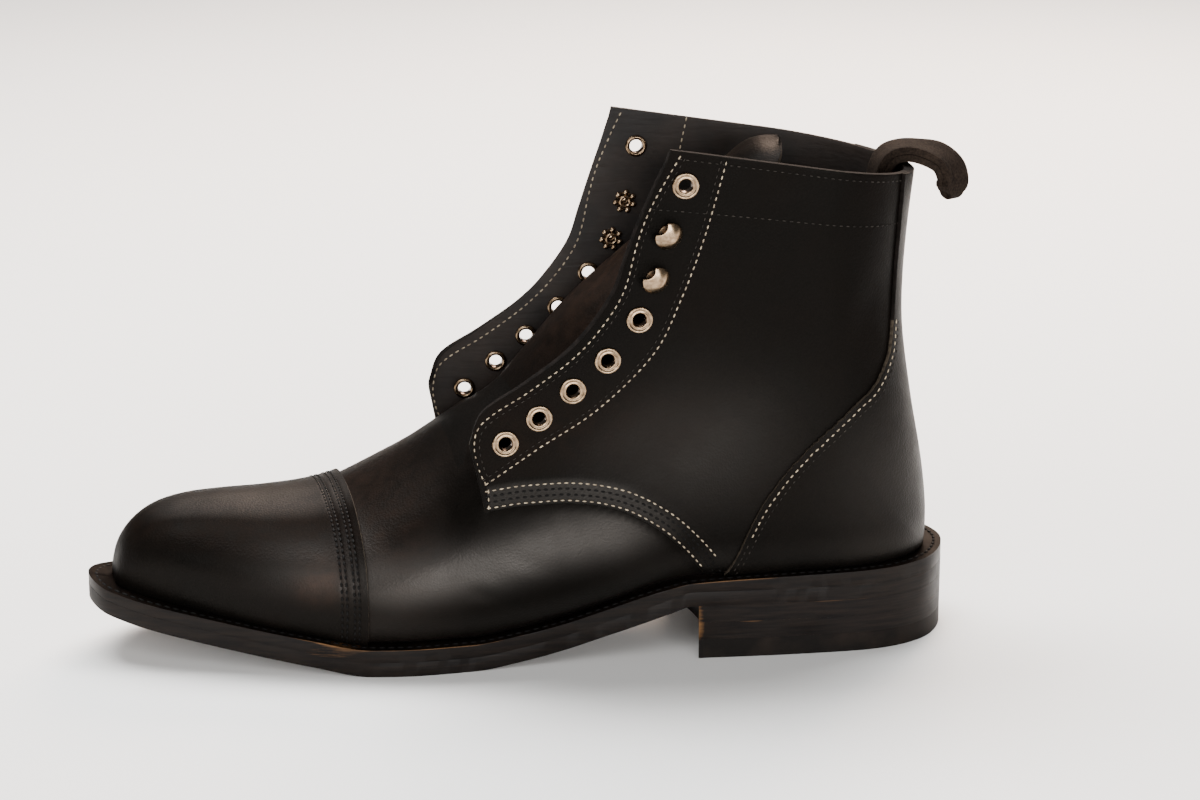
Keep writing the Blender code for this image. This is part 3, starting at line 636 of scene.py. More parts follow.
def push(piece, relief):
    """Move a piece's points along their normals by a relief in millimetres."""
    places, normals = read_points(piece.data)
    move_points(piece.data, places + normals * relief(places, normals)[:, None])


def complete(piece, slot, *nodes, rounding=0.0, segments=2, sharp=SHARP, **layers):
    """Round a piece's edges, make it plain, paint it and fix it on the boot."""
    if rounding:
        round_edges(piece, rounding, segments)
    settle(piece, sharp)
    paint(piece, **layers)
    return hand_over(piece, slot, *nodes)


# Finishes

def linear(colour):
    """Linear RGBA of an sRGB hex colour."""
    channels = [int(colour[i:i + 2], 16) / 255 for i in (1, 3, 5)]
    return tuple(c / 12.92 if c <= 0.04045 else ((c + 0.055) / 1.055) ** 2.4 for c in channels) + (1.0,)


def per_mm(size):
    """Texture scale of a pattern whose features are this many millimetres apart."""
    return 1.0 / (size * MM)


def node(tree, kind, inputs=None, **settings):
    """Add a node with its settings; an input is a value or another node's output."""
    made = tree.nodes.new(kind)
    for name, value in settings.items():
        setattr(made, name, value)
    for socket, value in (inputs or {}).items():
        if isinstance(value, bpy.types.NodeSocket):
            tree.links.new(value, made.inputs[socket])
        else:
            made.inputs[socket].default_value = value
    return made


def blank_finish(name):
    made = bpy.data.materials.new(name)
    made.use_nodes = True
    tree = made.node_tree
    place = node(tree, "ShaderNodeTexCoord").outputs["Object"]
    return made, tree, tree.nodes["Principled BSDF"], place


def dress(tree, shader, colour=None, roughness=None, height=None, bump=0.2, depth=0.1, **values):
    """Link colour, roughness and relief to the shader, and set its plain values."""
    if colour is not None:
        tree.links.new(colour, shader.inputs["Base Color"])
    if roughness is not None:
        tree.links.new(roughness, shader.inputs["Roughness"])
    if height is not None:
        made = node(tree, "ShaderNodeBump", {"Strength": bump, "Distance": depth * MM, "Height": height})
        tree.links.new(made.outputs["Normal"], shader.inputs["Normal"])
    for name, value in values.items():
        shader.inputs[name.replace("_", " ")].default_value = value


def mixed(tree, factor, first, second):
    """Two colours mixed by a factor; each is an sRGB hex or another node's output."""
    first, second = (linear(c) if isinstance(c, str) else c for c in (first, second))
    return node(tree, "ShaderNodeMix", {0: factor, 6: first, 7: second}, data_type="RGBA").outputs[2]


def ranged(tree, value, low, high, start=0.0, end=1.0):
    limits = {"From Min": start, "From Max": end, "To Min": low, "To Max": high}
    return node(tree, "ShaderNodeMapRange", {"Value": value, **limits}).outputs["Result"]


def tinted(tree, value, start, end, dark, light):
    """Two colours mixed as a value goes from start to end."""
    return mixed(tree, ranged(tree, value, 0.0, 1.0, start, end), dark, light)


def summed(tree, first, second, share):
    """First value plus a share of the second."""
    made = node(tree, "ShaderNodeMath", {0: second, 1: share, 2: first}, operation="MULTIPLY_ADD")
    return made.outputs[0]


def noise(tree, place, size, detail, **more):
    """Noise whose features are this many millimetres apart."""
    values = {"Vector": place, "Scale": per_mm(size), "Detail": detail, **more}
    return node(tree, "ShaderNodeTexNoise", values).outputs[0]


def stretched(tree, place, scale):
    return node(tree, "ShaderNodeMapping", {"Vector": place, "Scale": scale}).outputs[0]


def stored(tree, name):
    """The number painted on a piece's points."""
    return node(tree, "ShaderNodeAttribute", attribute_name=name).outputs["Fac"]


def shine(tree, shader, low, high):
    """Strength of the gloss, from the painted polish."""
    tree.links.new(ranged(tree, stored(tree, "polish"), low, high), shader.inputs["Specular IOR Level"])


def plain_finish(name, size, detail, limits, colours, bump, depth, **values):
    """A finish whose colour and relief come from one pattern."""
    made, tree, shader, place = blank_finish(name)
    grain = noise(tree, place, size, detail)
    dress(tree, shader, tinted(tree, grain, *limits, *colours), None, grain, bump, depth, **values)
    return made


def waxed_leather():
    """Waxed full-grain cowhide, dyed black over brown and plated smooth: a soft wide gloss over fine
    pores, with the brown showing where it is stretched or rubbed, and a painted brown sheen on the
    up-facing crown of the toe."""
    made, tree, shader, place = blank_finish("waxed_cowhide_black")
    clouds = noise(tree, place, size=34.0, detail=5.0)
    mottle = noise(tree, place, size=5.0, detail=6.0)
    patches = ranged(tree, clouds, 0.0, 0.03, 0.42, 0.72)
    flecks = ranged(tree, mottle, 0.35, 1.25, 0.3, 0.7)
    # The painted layer adds brown where the hide is rubbed, and a painted brown sheen on up-facing crowns
    colour = mixed(tree, summed(tree, patches, stored(tree, "burnish"), flecks), "#070605", "#33231a")
    pores = node(tree, "ShaderNodeTexVoronoi", {"Vector": place, "Scale": per_mm(0.85)}).outputs["Distance"]
    fine = noise(tree, place, size=0.45, detail=3.0)
    height = summed(tree, summed(tree, pores, fine, 0.7), mottle, 0.5)
    dull = ranged(tree, summed(tree, clouds, mottle, 0.5), 0.34, 0.56, 0.4, 1.0)
    shine(tree, shader, 0.01, 0.40)
    dress(tree, shader, colour, dull, height, bump=0.32, depth=0.2, Specular_Tint=linear("#fff6ee"))
    return made


def lining_leather():
    """Vegetable-tanned lining calf, worn in and dark: matt, with fine wrinkles across the shaft."""
    made, tree, shader, place = blank_finish("lining_calf_dark")
    wrinkles = noise(tree, stretched(tree, place, (0.35, 1.0, 2.4)), size=4.5, detail=5.0, Distortion=0.6)
    clouds = noise(tree, place, size=22.0, detail=4.0)
    colour = tinted(tree, clouds, 0.35, 0.7, "#15110f", "#2b231e")
    dull = ranged(tree, wrinkles, 0.5, 0.72)
    dress(tree, shader, colour, dull, wrinkles, bump=0.35, depth=0.5, Specular_IOR_Level=0.25)
    return made


def sole_edge():
    """Sole-bend leather, trimmed, stained and burnished with wax: dark brown with fibre streaks along the
    edge, bare tan where it has taken knocks, and a painted pale highlight along the welt's top corner."""
    made, tree, shader, place = blank_finish("burnished_sole_bend")
    streaks = noise(tree, stretched(tree, place, (0.12, 0.12, 1.6)), size=1.6, detail=5.0)
    clouds = noise(tree, place, size=18.0, detail=5.0)
    stained = tinted(tree, streaks, 0.35, 0.75, "#0c0908", "#1a1410")
    # Painted layer: bare tan from wear, and a painted pale highlight along the welt's top corner
    knocks_and_highlight = summed(tree, 0.0, stored(tree, "burnish"), streaks)
    colour = tinted(tree, knocks_and_highlight, 0.25, 0.62, stained, "#6b4c2e")
    shine(tree, shader, 0.01, 0.10)
    dress(tree, shader, colour, ranged(tree, clouds, 0.30, 0.55, 0.3, 0.7), streaks, bump=0.22, depth=0.25)
    return made


def heel_rubber():
    """Moulded rubber top piece: matt black with a fine grit and dusty scuffs."""
    made, tree, shader, place = blank_finish("moulded_heel_rubber")
    grit = noise(tree, place, size=0.9, detail=4.0)
    dust = noise(tree, place, size=11.0, detail=5.0)
    colour = tinted(tree, dust, 0.45, 0.75, "#0f0c0a", "#1e1814")
    dress(tree, shader, colour, ranged(tree, dust, 0.45, 0.62), grit, bump=0.2, depth=0.12,
          Specular_IOR_Level=0.08)
    return made


def nickel_plate():
    """Pressed brass under bright nickel plate: warm silver, mirror-like with fine rub marks, and painted
    shade in dark brown inside the eyelets.
    """
    made, tree, shader, place = blank_finish("nickel_plated_brass")
    rubs = noise(tree, place, size=1.2, detail=5.0)
    plated = tinted(tree, rubs, 0.35, 0.7, "#a08a70", "#715d49")
    # Painted shade: dark brown where the eyelets' barrels and flange dips are shaded
    colour = mixed(tree, stored(tree, "burnish"), plated, "#4e3c2b")
    dress(tree, shader, colour, ranged(tree, rubs, 0.16, 0.32), rubs, bump=0.04, depth=0.05, Metallic=1.0)
    return made


def waxed_thread(name, dark, light, roughness):
    """Twisted waxed thread, a little soiled in patches."""
    made, tree, shader, place = blank_finish(name)
    soil = noise(tree, place, size=2.2, detail=3.0)
    twist = noise(tree, place, size=0.4, detail=2.0)
    dress(tree, shader, tinted(tree, soil, 0.35, 0.65, dark, light), None, twist, bump=0.3, depth=0.1,
          Roughness=roughness, Specular_IOR_Level=0.1)
    return made


def nap_strap():
    """Strap of the same hide with its nap outside: dull, fibrous black-brown."""
    made, tree, shader, place = blank_finish("napped_hide_strap")
    nap = noise(tree, place, size=0.8, detail=6.0)
    clouds = noise(tree, place, size=6.0, detail=4.0)
    colour = tinted(tree, summed(tree, nap, clouds, 0.6), 0.5, 1.1, "#100d0b", "#2c241e")
    dress(tree, shader, colour, None, nap, bump=0.5, depth=0.3, Roughness=0.9, Specular_IOR_Level=0.03)
    return made


def pale_floor():
    """Painted studio floor: even, matt and almost white."""
    made, tree, shader, place = blank_finish("painted_studio_floor")
    brush = noise(tree, place, size=400.0, detail=3.0)
    dress(tree, shader, mixed(tree, brush, "#f1f0ee", "#f7f6f4"), Roughness=0.9)
    return made


LEATHER = waxed_leather()
LINING = lining_leather()

# Cut edge of the hide, only wiped with dye: matt, greyish tan fibre
RAW_EDGE = plain_finish("cut_hide_edge", size=1.4, detail=5.0, limits=(0.3, 0.7),
                        colours=("#1e1a16", "#443c32"), bump=0.4, depth=0.15, Roughness=0.8,
                        Specular_IOR_Level=0.1)

# Folded and inked edge at the collar and facings: dull black with a faint grey bloom in patches
INKED_EDGE = plain_finish("inked_hide_edge", size=3.0, detail=4.0, limits=(0.3, 0.7),
                          colours=("#080706", "#181412"), bump=0.3, depth=0.1, Roughness=0.8,
                          Specular_IOR_Level=0.04)
SOLE_EDGE = sole_edge()

# Flesh-stained sole bend underneath: matt dark brown with scuffs
SOLE_BOTTOM = plain_finish("stained_sole_bottom", size=14.0, detail=7.0, limits=(0.35, 0.7),
                           colours=("#2a1f18", "#4e3b2b"), bump=0.3, depth=0.3, Roughness=0.7)
RUBBER = heel_rubber()

# Plain vegetable-tanned insole: matt tan, darkened by handling
INSOLE = plain_finish("vegetable_tanned_insole", size=20.0, detail=5.0, limits=(0.35, 0.7),
                      colours=("#4a3524", "#6f5237"), bump=0.2, depth=0.2, Roughness=0.66)
NICKEL = nickel_plate()
CREAM_THREAD = waxed_thread("waxed_thread_cream", "#75695a", "#ab9d86", 0.6)
BLACK_THREAD = waxed_thread("waxed_thread_black", "#040303", "#0c0b0a", 0.7)
GREY_THREAD = waxed_thread("waxed_thread_grey", "#161412", "#302c28", 0.6)
STRAP = nap_strap()


# Upper: vamp, quarters and shaft

# Creases in the leather: soft troughs with a low ridge beside them, at listed places
CREASES = (
    # side, x from, z from, x to, z to, depth, width
    (LATERAL, -131, 32, -121, 28, 0.75, 2),
    (LATERAL, -118, 44, -98, 36, 0.22, 2.6),
    (LATERAL, -98, 80, -60, 104, 0.70, 8),
    (LATERAL, -52, 84, -24, 112, 0.60, 9),
    (LATERAL, 2, 104, 14, 140, 0.50, 6),
    (MEDIAL, -140, 34, -126, 28, 0.55, 2.8),
    (MEDIAL, -158, 52, -142, 38, 0.45, 5),
    (MEDIAL, -104, 78, -66, 102, 0.70, 8),
    (MEDIAL, -50, 84, -22, 110, 0.60, 9),
)
RIDGE_SHARE = 0.45
RIDGE_AWAY = 1.9
SIDE_TILT = (-0.25, 0.25)
CREASE_ENDS = (0.02, 0.98)
CREASE_FADE = 0.7

# The hide swells out low on the vamp and is drawn in above it and above the seam
SWELLS = (
    # height, x, z, length, breadth
    (1.8, -98, 32, 42, 12),
    (1.5, -149, 26, 20, 10),
    (-2.6, -78, 78, 48, 24),
    (-1.4, -146, 51, 18, 12),
)

# Streak of gloss along the side of the vamp
GLOSS_PATH = (
    # x, z
    (-200, 37.5),
    (-171.5, 35.5),
    (-154.7, 34.3),
    (-137.6, 36.9),
    (-120.5, 40.8),
    (-99.5, 47.6),
    (-85, 48.9),
    (-71, 49.5),
)
GLOSS_LINE = tuple(zip(*GLOSS_PATH))
GLOSS = 1.0
DULL = 0.06
FOOT_GLOSS = 0.3
FOOT_GLOSS_TOP = 16.0
FOOT_GLOSS_FADE = 10.0
GLOSS_BREADTH = 8.5
GLOSS_FROM = -186.0
GLOSS_TO = -56.0
GLOSS_FADE = 26.0

GLOSS_OFF_TAB = 3.0
QUARTER_GLOSS = ((0.28, -50.0, 80.0, 32.0, 24.0),)

# Where the brown shows through the black, and a painted brown sheen on the up-facing crown of the vamp
RUBBED_SPOTS = (
    # share, x, z, length, breadth
    (0.12, -152, 40, 14, 16),
    (0.16, -190, 20, 22, 9),
    (0.08, -100, 88, 40, 14),
)
# Painted sheen: brown on the up-facing crown ahead of the throat, partly rubbed leather
CROWN_RUB_AND_SHEEN = 0.12
CROWN_TILT = (0.35, 0.95)
CROWN_AHEAD = (-120.0, -160.0)
WALL_TILT = (0.5, 0.8)

# The vamp lies a layer lower than the quarter along the seam
SEAM_SINK = 1.1
SINK_STEP = 1.6
SINK_FULL = 6.0
SINK_FADE = 32.0
SINK_SHIFT = -6.8
JOINT_X = -125.0
JOINT_WIDTH = 13.0
JOINT_TOP = 62.0
JOINT_FADE = 6.0
JOINT_ROUNDS = 60
TAB_CORNERS = (
    # share, x, z, length, breadth
    (0.6, -130.8, 85, 3.5, 3.5),
    (0.6, -137.4, 85, 3.5, 3.5),
)
CORNER_ROUNDS = 8
UPPER_ROUNDING = 0.5
UPPER_ANGLE = 35.0
UPPER_SHARP = 50.0
RIM_AHEAD = -60.0
RIM_ABOVE = 70.0


def crease_relief(places, normals):
    """Depth of the listed creases at each point."""
    relief = np.zeros(len(places))
    flat = places[:, [0, 2]]
    for side, x0, z0, x1, z1, depth, width in CREASES:
        start = np.array([x0, z0])
        run = np.array([x1, z1]) - start
        length = np.linalg.norm(run)
        away = flat - start
        share = np.clip(away @ run / length ** 2, 0.0, 1.0)
        fade = np.sin(np.clip(share, *CREASE_ENDS) * math.pi) ** CREASE_FADE
        distance = np.linalg.norm(away - share[:, None] * run, axis=1)
        trough = np.exp(-(distance / width) ** 2)
        ridge = np.exp(-((distance - RIDGE_AWAY * width) / width) ** 2)
        faces = ramp(normals[:, 1] * side, *SIDE_TILT)
        relief += depth * (RIDGE_SHARE * ridge - trough) * fade * faces
    return relief


def near(places, x, z, width_x, width_z):
    """Soft spot round a place on the side of the boot."""
    return np.exp(-((places[:, 0] - x) / width_x) ** 2 - ((places[:, 2] - z) / width_z) ** 2)


def spots(places, table):
    """Sum of soft spots: a share, a place in the side view, a length and a breadth each."""
    return sum(share * near(places, *spot) for share, *spot in table)


def upright(normals):
    """1 on walls, 0 where the leather faces up or down."""
    return 1.0 - ramp(np.abs(normals[:, 2]), *WALL_TILT)


def hide_relief(places, normals):
    """Creases, and the swell of the hide low on the vamp with the hollow above it at the seam."""
    return crease_relief(places, normals) + upright(normals) * spots(places, SWELLS)


def rub_and_painted_sheen_upper(places, normals):
    """Where the brown shows: rubbed spots above the cap seam and along the facings, and on top of the vamp
    a painted brown sheen that is partly rubbed leather.
    """
    # Painted sheen: brown on the up-facing crown, partly rubbed leather
    crown = ramp(normals[:, 2], *CROWN_TILT) * ramp(places[:, 0], *CROWN_AHEAD)
    return CROWN_RUB_AND_SHEEN * crown + spots(places, RUBBED_SPOTS)


def gloss_line(places):
    """Soft streak of gloss along the side of the vamp, from the cap to below the seam."""
    away = (places[:, 2] - np.interp(places[:, 0], *GLOSS_LINE)) / GLOSS_BREADTH
    ends = ease((places[:, 0] - GLOSS_FROM) / GLOSS_FADE) * ease((GLOSS_TO - places[:, 0]) / GLOSS_FADE)
    return np.exp(-away ** 2) * ends


def foot_gloss(places):
    """A little wax left above the welt."""
    above = places[:, 2] - welt_top(places[:, 0])
    return FOOT_GLOSS * ease((FOOT_GLOSS_TOP - above) / FOOT_GLOSS_FADE)


def upper_polish(places, normals):
    """The gloss of brushing: along the side of the vamp, on the middle of the quarter and at the foot."""
    off = ease(off_tab(places, normals) / GLOSS_OFF_TAB)
    return DULL + GLOSS * off * gloss_line(places) + spots(places, QUARTER_GLOSS) + foot_gloss(places)


def quarter_stations():
    """Sections of the quarter, with one exactly at the heel's rear where the two sides meet."""
    low = np.linspace(0.0, HEEL_ROW, QUARTER_BELOW + 1)
    high = np.linspace(HEEL_ROW, COLLAR_ROW, QUARTER_ABOVE + 1)
    return np.concatenate([low, high[1:]])


def throat_line(vamp_edge, facing_edge, shares):
    """Throat edge of the vamp: shared with the quarter, then ahead of the facing and back to the ridge."""
    line = vamp_edge.copy()
    shared = shares <= TUCK_FROM
    back = ease((shares - TUCK_FROM) / THROAT_RETURN)
    line[:, 0] += (1 - back) * (facing_edge[:, 0] - GAP - line[:, 0])
    line[shared] = facing_edge[shared]
    return line


def fastening_places():
    """Each lace hole: node, kind, centre on the leather's face, the way it faces and its front."""
    for side, name in SIDE_NAMES:
        for number, (kind, *place) in enumerate(FASTENINGS, start=1):
            x, z = place[:2] if side == LATERAL else place[2:]
            s, v = quarter_at(x, z, side)
            centre = point_at(quarter_line, s, v, side)
            ahead = point_at(quarter_line, s, min(v + SHARE_STEP, 1.0), side) - centre
            way = normal_at(quarter_line, s, v, side)
            centre = centre + way * hide_relief(centre[None], way[None])[0]
            yield f"{kind}_{name}_{number}", kind, centre, way, ahead


FASTENED = list(fastening_places())


def lace_hole_cutter():
    """Round cutters through the wall at every lace hole."""
    bm = bmesh.new()
    for _, _, centre, axis, _ in FASTENED:
        turn = Vector(axis).to_track_quat("Z", "Y").to_matrix().to_4x4()
        turn.translation = Vector(centre) * MM
        bmesh.ops.create_cone(bm, cap_ends=True, segments=HOLE_FINE, radius1=HOLE_RADIUS * MM,
                              radius2=HOLE_RADIUS * MM, depth=5 * WALL * MM, matrix=turn)
    return new_piece("lace_hole_cutter", to_mesh("lace_hole_cutter", bm), INKED_EDGE)


def fine_vamp(side, shares):
    """Grid of the vamp, drawn back near the throat so that it ends on the quarter's front edge."""
    rows = np.linspace(0.0, len(VAMP) - 1, VAMP_FINE + 1)
    vamp = patch(vamp_line, rows, shares, side)
    pull = throat_line(vamp[-1], quarter_line(0.0, shares, side), shares) - vamp[-1]
    near_throat = ramp(rows, TUCK_FIRST_ROW, len(VAMP) - 1)
    return vamp + near_throat[:, None, None] * pull


def build_upper():
    """Vamp, quarters and shaft in one wall, creased and with the lace holes cut through it."""
    shares = np.linspace(0.0, 1.0, ACROSS_FINE + 1)
    drawn_back = TUCK_FROM + (shares - TUCK_FROM) * FACING_END
    facing_shares = np.where(shares > TUCK_FROM, drawn_back, shares)
    patches = []
    for side in SIDES:
        vamp = fine_vamp(side, shares)
        quarter = patch(quarter_line, quarter_stations(), facing_shares, side)
        patches.append((vamp, side == MEDIAL, 0))
        patches.append((quarter, side == MEDIAL, 0))
    upper = new_piece("fine_upper", sheet("fine_upper", patches), LEATHER, LINING, INKED_EDGE)
    relax(upper, joint_weight, JOINT_ROUNDS)
    push(upper, lambda places, normals: hide_relief(places, normals) + seam_sink(places, normals))
    thicken(upper, WALL, -1, inner=1, rim=2)
    round_edges(upper, UPPER_ROUNDING, angle=UPPER_ANGLE)
    cutter = lace_hole_cutter()
    cut = upper.modifiers.new("lace_holes", "BOOLEAN")
    cut.operation = "DIFFERENCE"
    cut.object = cutter
    settle(upper, UPPER_SHARP)
    bpy.data.objects.remove(cutter, do_unlink=True)
    relax(upper, corner_weight, CORNER_ROUNDS)
    for face in upper.data.polygons:
        ahead = face.center.x < RIM_AHEAD * MM and face.center.z > RIM_ABOVE * MM
        if face.material_index == 1 and ahead and face.normal.y * face.center.y > 0:
            face.material_index = 2
    paint(upper, burnish=rub_and_painted_sheen_upper, polish=upper_polish)
    return hand_over(upper, "upper_leather", "upper")


# Layers sewn over the upper

CAP_SEAM_ROWS = (3.0, 4.7, 7.4, 9.1)
CAP_FINE = 64
CAP_EDGE_FROM = 7.5
CAP_EDGE_FINE = 72
CAP_GROOVE = 0.34
CAP_GROOVE_WIDTH = 0.62
CAP_ROUNDING = 0.35
CAP_RIM_GLOSS = 0.46
CAP_RIM_BREADTH = 0.28
CAP_RIM_BEHIND = (-246.0, -226.0)
CAP_SIDE_GLOSS = 0.13
CAP_SIDE_BELOW = (46.0, 36.0)
CAP_GLOSS = ((0.6, -180.0, 36.0, 20.0, 6.0),)
# Brown on the up-facing crown of the cap: partly rubbed leather, partly a painted sheen
CAP_CROWN_RUB_AND_SHEEN = 0.06
CAP_SHEEN_TILT = (0.4, 0.9)
CAP_RUB_SPOTS = ((0.5, -182.0, 34.0, 8.0, 6.0),)
LAYER_LIFT = 0.06
COUNTER_FINE = 40
COUNTER_ROUNDS = 25
COUNTER_EASED = ((0.8, 32.0, 46.0, 16.0, 26.0),)
COUNTER_ROUNDING = 0.3
COUNTER_DULL = 0.09
COUNTER_GLOSS = ((0.27, 22.0, 66.0, 22.0, 26.0),)
COUNTER_FOOT = 0.5
COUNTER_LEAST = 0.01
COUNTER_MOST = 0.95
COUNTER_SEARCH = 400
CREAM_FROM = 44.0
CREAM_UP_TO = 118.0
BAND_FINE = 90
BAND_DEPTH = 1.5
BAND_FADE = 2.0
BAND_GLOSS = 0.3
BAND_DULL_FROM = -52.0
BAND_DULL_FADE = 14.0
BAND_CREAM_ROWS = (1.3, 7.4)
BAND_BLACK_ROWS = (3.3, 5.4)
SEAM_FOOT = ((-46.4, 28.6),)
TAB_FINE = 40
TAB_ROW = 13.0
TAB_DEPTH = 0.9
TAB_TOP = {LATERAL: 0.95, MEDIAL: 0.85}
TAB_POLISH = 0.08
TAB_PROFILE = (
    # distance behind the edge, height
    (0, -0.9),
    (0.06, 0.15),
    (0.35, 0.38),
    (1.2, 0.36),
    (2.4, 0.16),
    (4, -0.06),
    (5.5, -0.2),
)
BAND_PROFILE = (
    # distance up from the edge, height
    (0, -0.45),
    (0.12, -0.08),
    (0.45, 0.16),
    (2, 0.24),
    (5, 0.24),
    (7.5, 0.20),
    (9.5, 0.08),
    (11.5, -0.12),
)


def cap_seam_relief(grid):
    """Grooves under the rows of stitches, measured along the leather from the raw edge."""
    steps = np.linalg.norm(np.diff(grid, axis=0), axis=2)
    away = np.concatenate([np.cumsum(steps[::-1], axis=0)[::-1], np.zeros((1, grid.shape[1]))])
    return -CAP_GROOVE * sum(np.exp(-((away - row) / CAP_GROOVE_WIDTH) ** 2) for row in CAP_SEAM_ROWS)


def build_toe_cap():
    """Layer over the toe, pressed down along its four rows of stitches, with a raw edge facing back."""
    shares = np.linspace(0.0, 1.0, ACROSS_FINE + 1)
    stations = np.concatenate([np.linspace(0.0, CAP_EDGE_FROM, CAP_FINE, endpoint=False),
                               np.linspace(CAP_EDGE_FROM, CAP_ROW, CAP_EDGE_FINE)])
    patches = []
    for side in SIDES:
        grid = patch(vamp_line, stations, shares, side)
        normals = grid_normals(grid, side)
        normals[0] = normals[1]
        lifted = grid + normals * (LAYER_LIFT + cap_seam_relief(grid))[..., None]
        lifted[:, -1, 1] = grid[:, -1, 1]
        lifted[0] = lifted[0].mean(axis=0)
        lifted[0, :, 1] = SOLE_TIP[1]
        patches.append((lifted, side == MEDIAL, 0))
    cap = new_piece("fine_toe_cap", sheet("fine_toe_cap", patches, RIM_MERGE), LEATHER, LEATHER, RAW_EDGE)
    thicken(cap, LAYER, 1, inner=1, rim=2)
    return complete(cap, "upper_leather", "toe_cap", rounding=CAP_ROUNDING, burnish=rub_and_painted_sheen_cap,
                    polish=cap_polish)


def cap_polish(places, normals):
    """A narrow rim of polish along the crown of the toe, and the end of the vamp's streak."""
    rim = ramp(np.abs(normals[:, 1]), CAP_RIM_BREADTH, 0.0) * ramp(normals[:, 2], *WALL_TILT)
    rim = rim * ramp(places[:, 0], *CAP_RIM_BEHIND)
    side = ramp(places[:, 2], *CAP_SIDE_BELOW)
    return CAP_RIM_GLOSS * rim + CAP_SIDE_GLOSS * side + spots(places, CAP_GLOSS)


def rub_and_painted_sheen_cap(places, normals):
    """Brown along the cap seam near the welt, and on the crown of the toe a painted brown sheen that is
    partly rubbed leather.
    """
    # Painted sheen on the up-facing crown, partly rubbed leather; tan spots by the seam are wear
    return CAP_CROWN_RUB_AND_SHEEN * ramp(normals[:, 2], *CAP_SHEEN_TILT) + spots(places, CAP_RUB_SPOTS)


def counter_share(s, side):
    """Share of a section that the counter covers, up to its front edge."""
    shares = np.linspace(0.0, COUNTER_MOST, COUNTER_SEARCH)
    line = quarter_line(s, shares, side)
    behind = line[:, 0] > np.interp(line[:, 2], *COUNTER_LINE)
    return shares[np.argmin(behind)] if not behind.all() else shares[-1]


def counter_polish(places, normals):
    """An upright streak of gloss on the side of the heel."""
    return COUNTER_DULL + spots(places, COUNTER_GLOSS) + COUNTER_FOOT * foot_gloss(places)


def build_counter():
    """Layer round the heel that narrows to the backstay, with a raw edge facing forwards."""
    patches = []
    ends = [(s, counter_share(s, LATERAL)) for s in quarter_stations()]
    ends = [(s, end) for s, end in ends if end > COUNTER_LEAST]
    on_back = np.array([s >= HEEL_ROW for s, _ in ends])
    for side in SIDES:
        grid = np.array([quarter_line(s, np.linspace(0.0, end, COUNTER_FINE + 1), side) for s, end in ends])
        normals = grid_normals(grid, side)
        swollen = hide_relief(grid.reshape(-1, 3), normals.reshape(-1, 3)).reshape(grid.shape[:2])
        lifted = grid + normals * (LAYER_LIFT + swollen)[..., None]
        lifted[on_back, 0, 1] = 0.0
        patches.append((lifted, side == MEDIAL, 0))
    mesh = sheet("fine_counter", patches, RIM_MERGE)
    counter = new_piece("fine_counter", mesh, LEATHER, LEATHER, RAW_EDGE, INKED_EDGE)
    relax(counter, lambda places: spots(places, COUNTER_EASED), COUNTER_ROUNDS)
    thicken(counter, BAND_LAYER, 1, inner=1, rim=2)
    round_edges(counter, COUNTER_ROUNDING)
    settle(counter)
    for face in counter.data.polygons:
        if face.material_index == 2 and face.center.z > CREAM_UP_TO * MM:
            face.material_index = 3
    paint(counter, polish=counter_polish)
    return hand_over(counter, "upper_leather", "counter")


def seam_places(distance, count):
    """Row numbers and shares along the seam edge, moved up from it by a distance."""
    line = SEAM_EDGE + SEAM_FOOT
    edge = np.array([(x, level_curve(line, x)) for x in np.linspace(line[0][0], line[-1][0], count)])
    return on_quarter(moved_line(edge, distance))


def moved_line(points, distance):
    """A line in the side view moved to its left by a distance."""
    along = np.gradient(points, axis=0)
    along /= np.linalg.norm(along, axis=1)[:, None]
    return points + distance * np.stack([-along[:, 1], along[:, 0]], axis=1)


def on_quarter(points):
    """Row numbers and shares of the quarter's sections for points in the outer side view."""
    found = []
    start = None
    for x, z in points:
        start = quarter_at(x, z, LATERAL, start)
        found.append(start)
    return found


def off_tab(places, normals):
    """Distance ahead of or below the quarter's front edge and seam, in the side view."""
    medial = normals[:, 1] > 0
    edge = np.interp(places[:, 0] - SINK_SHIFT * medial, *SEAM_LINE)
    front = np.where(medial, np.interp(places[:, 2], *TAB_FRONT[MEDIAL]),
                     np.interp(places[:, 2], *TAB_FRONT[LATERAL]))
    ahead = np.maximum(front - places[:, 0], 0.0)
    below = np.maximum(edge - places[:, 2], 0.0)
    return np.hypot(ahead, below)


def seam_sink(places, normals):
    """How far the vamp lies below the quarter that is sewn over it, fading out away from the seam."""
    away = off_tab(places, normals)
    fade = 1.0 - ramp(away, SINK_FULL, SINK_FADE)
    before = places[:, 0] < SEAM_EDGE[-1][0]
    return -SEAM_SINK * ease(away / SINK_STEP) * fade * upright(normals) * before


def relax(piece, weight, rounds):
    """Even out a piece's surface where the weight is high."""
    mesh = piece.data
    places, _ = read_points(mesh)
    ends = np.zeros(len(mesh.edges) * 2, dtype=int)
    mesh.edges.foreach_get("vertices", ends)
    pairs = ends.reshape(-1, 2)
    here, there = np.vstack([pairs, pairs[:, ::-1]]).T
    count = len(places)
    degree = np.bincount(here, minlength=count)[:, None]
    share = weight(places)[:, None]
    for _ in range(rounds):
        total = np.stack([np.bincount(here, values[there], count) for values in places.T], axis=1)
        places = places + share * (total / degree - places)
    move_points(mesh, places)


def joint_weight(places):
    """Round the line below the seam where the vamp runs into the quarter."""
    close = np.exp(-((places[:, 0] - JOINT_X) / JOINT_WIDTH) ** 2)
    low = 1.0 - ease((places[:, 2] - JOINT_TOP + JOINT_FADE) / JOINT_FADE)
    foot = ease((places[:, 2] - welt_top(places[:, 0]) - FOOT_GAP) / JOINT_FADE)
    return close * low * foot


def corner_weight(places):
    """Round the front corners of the facings."""
    return spots(places, TAB_CORNERS)


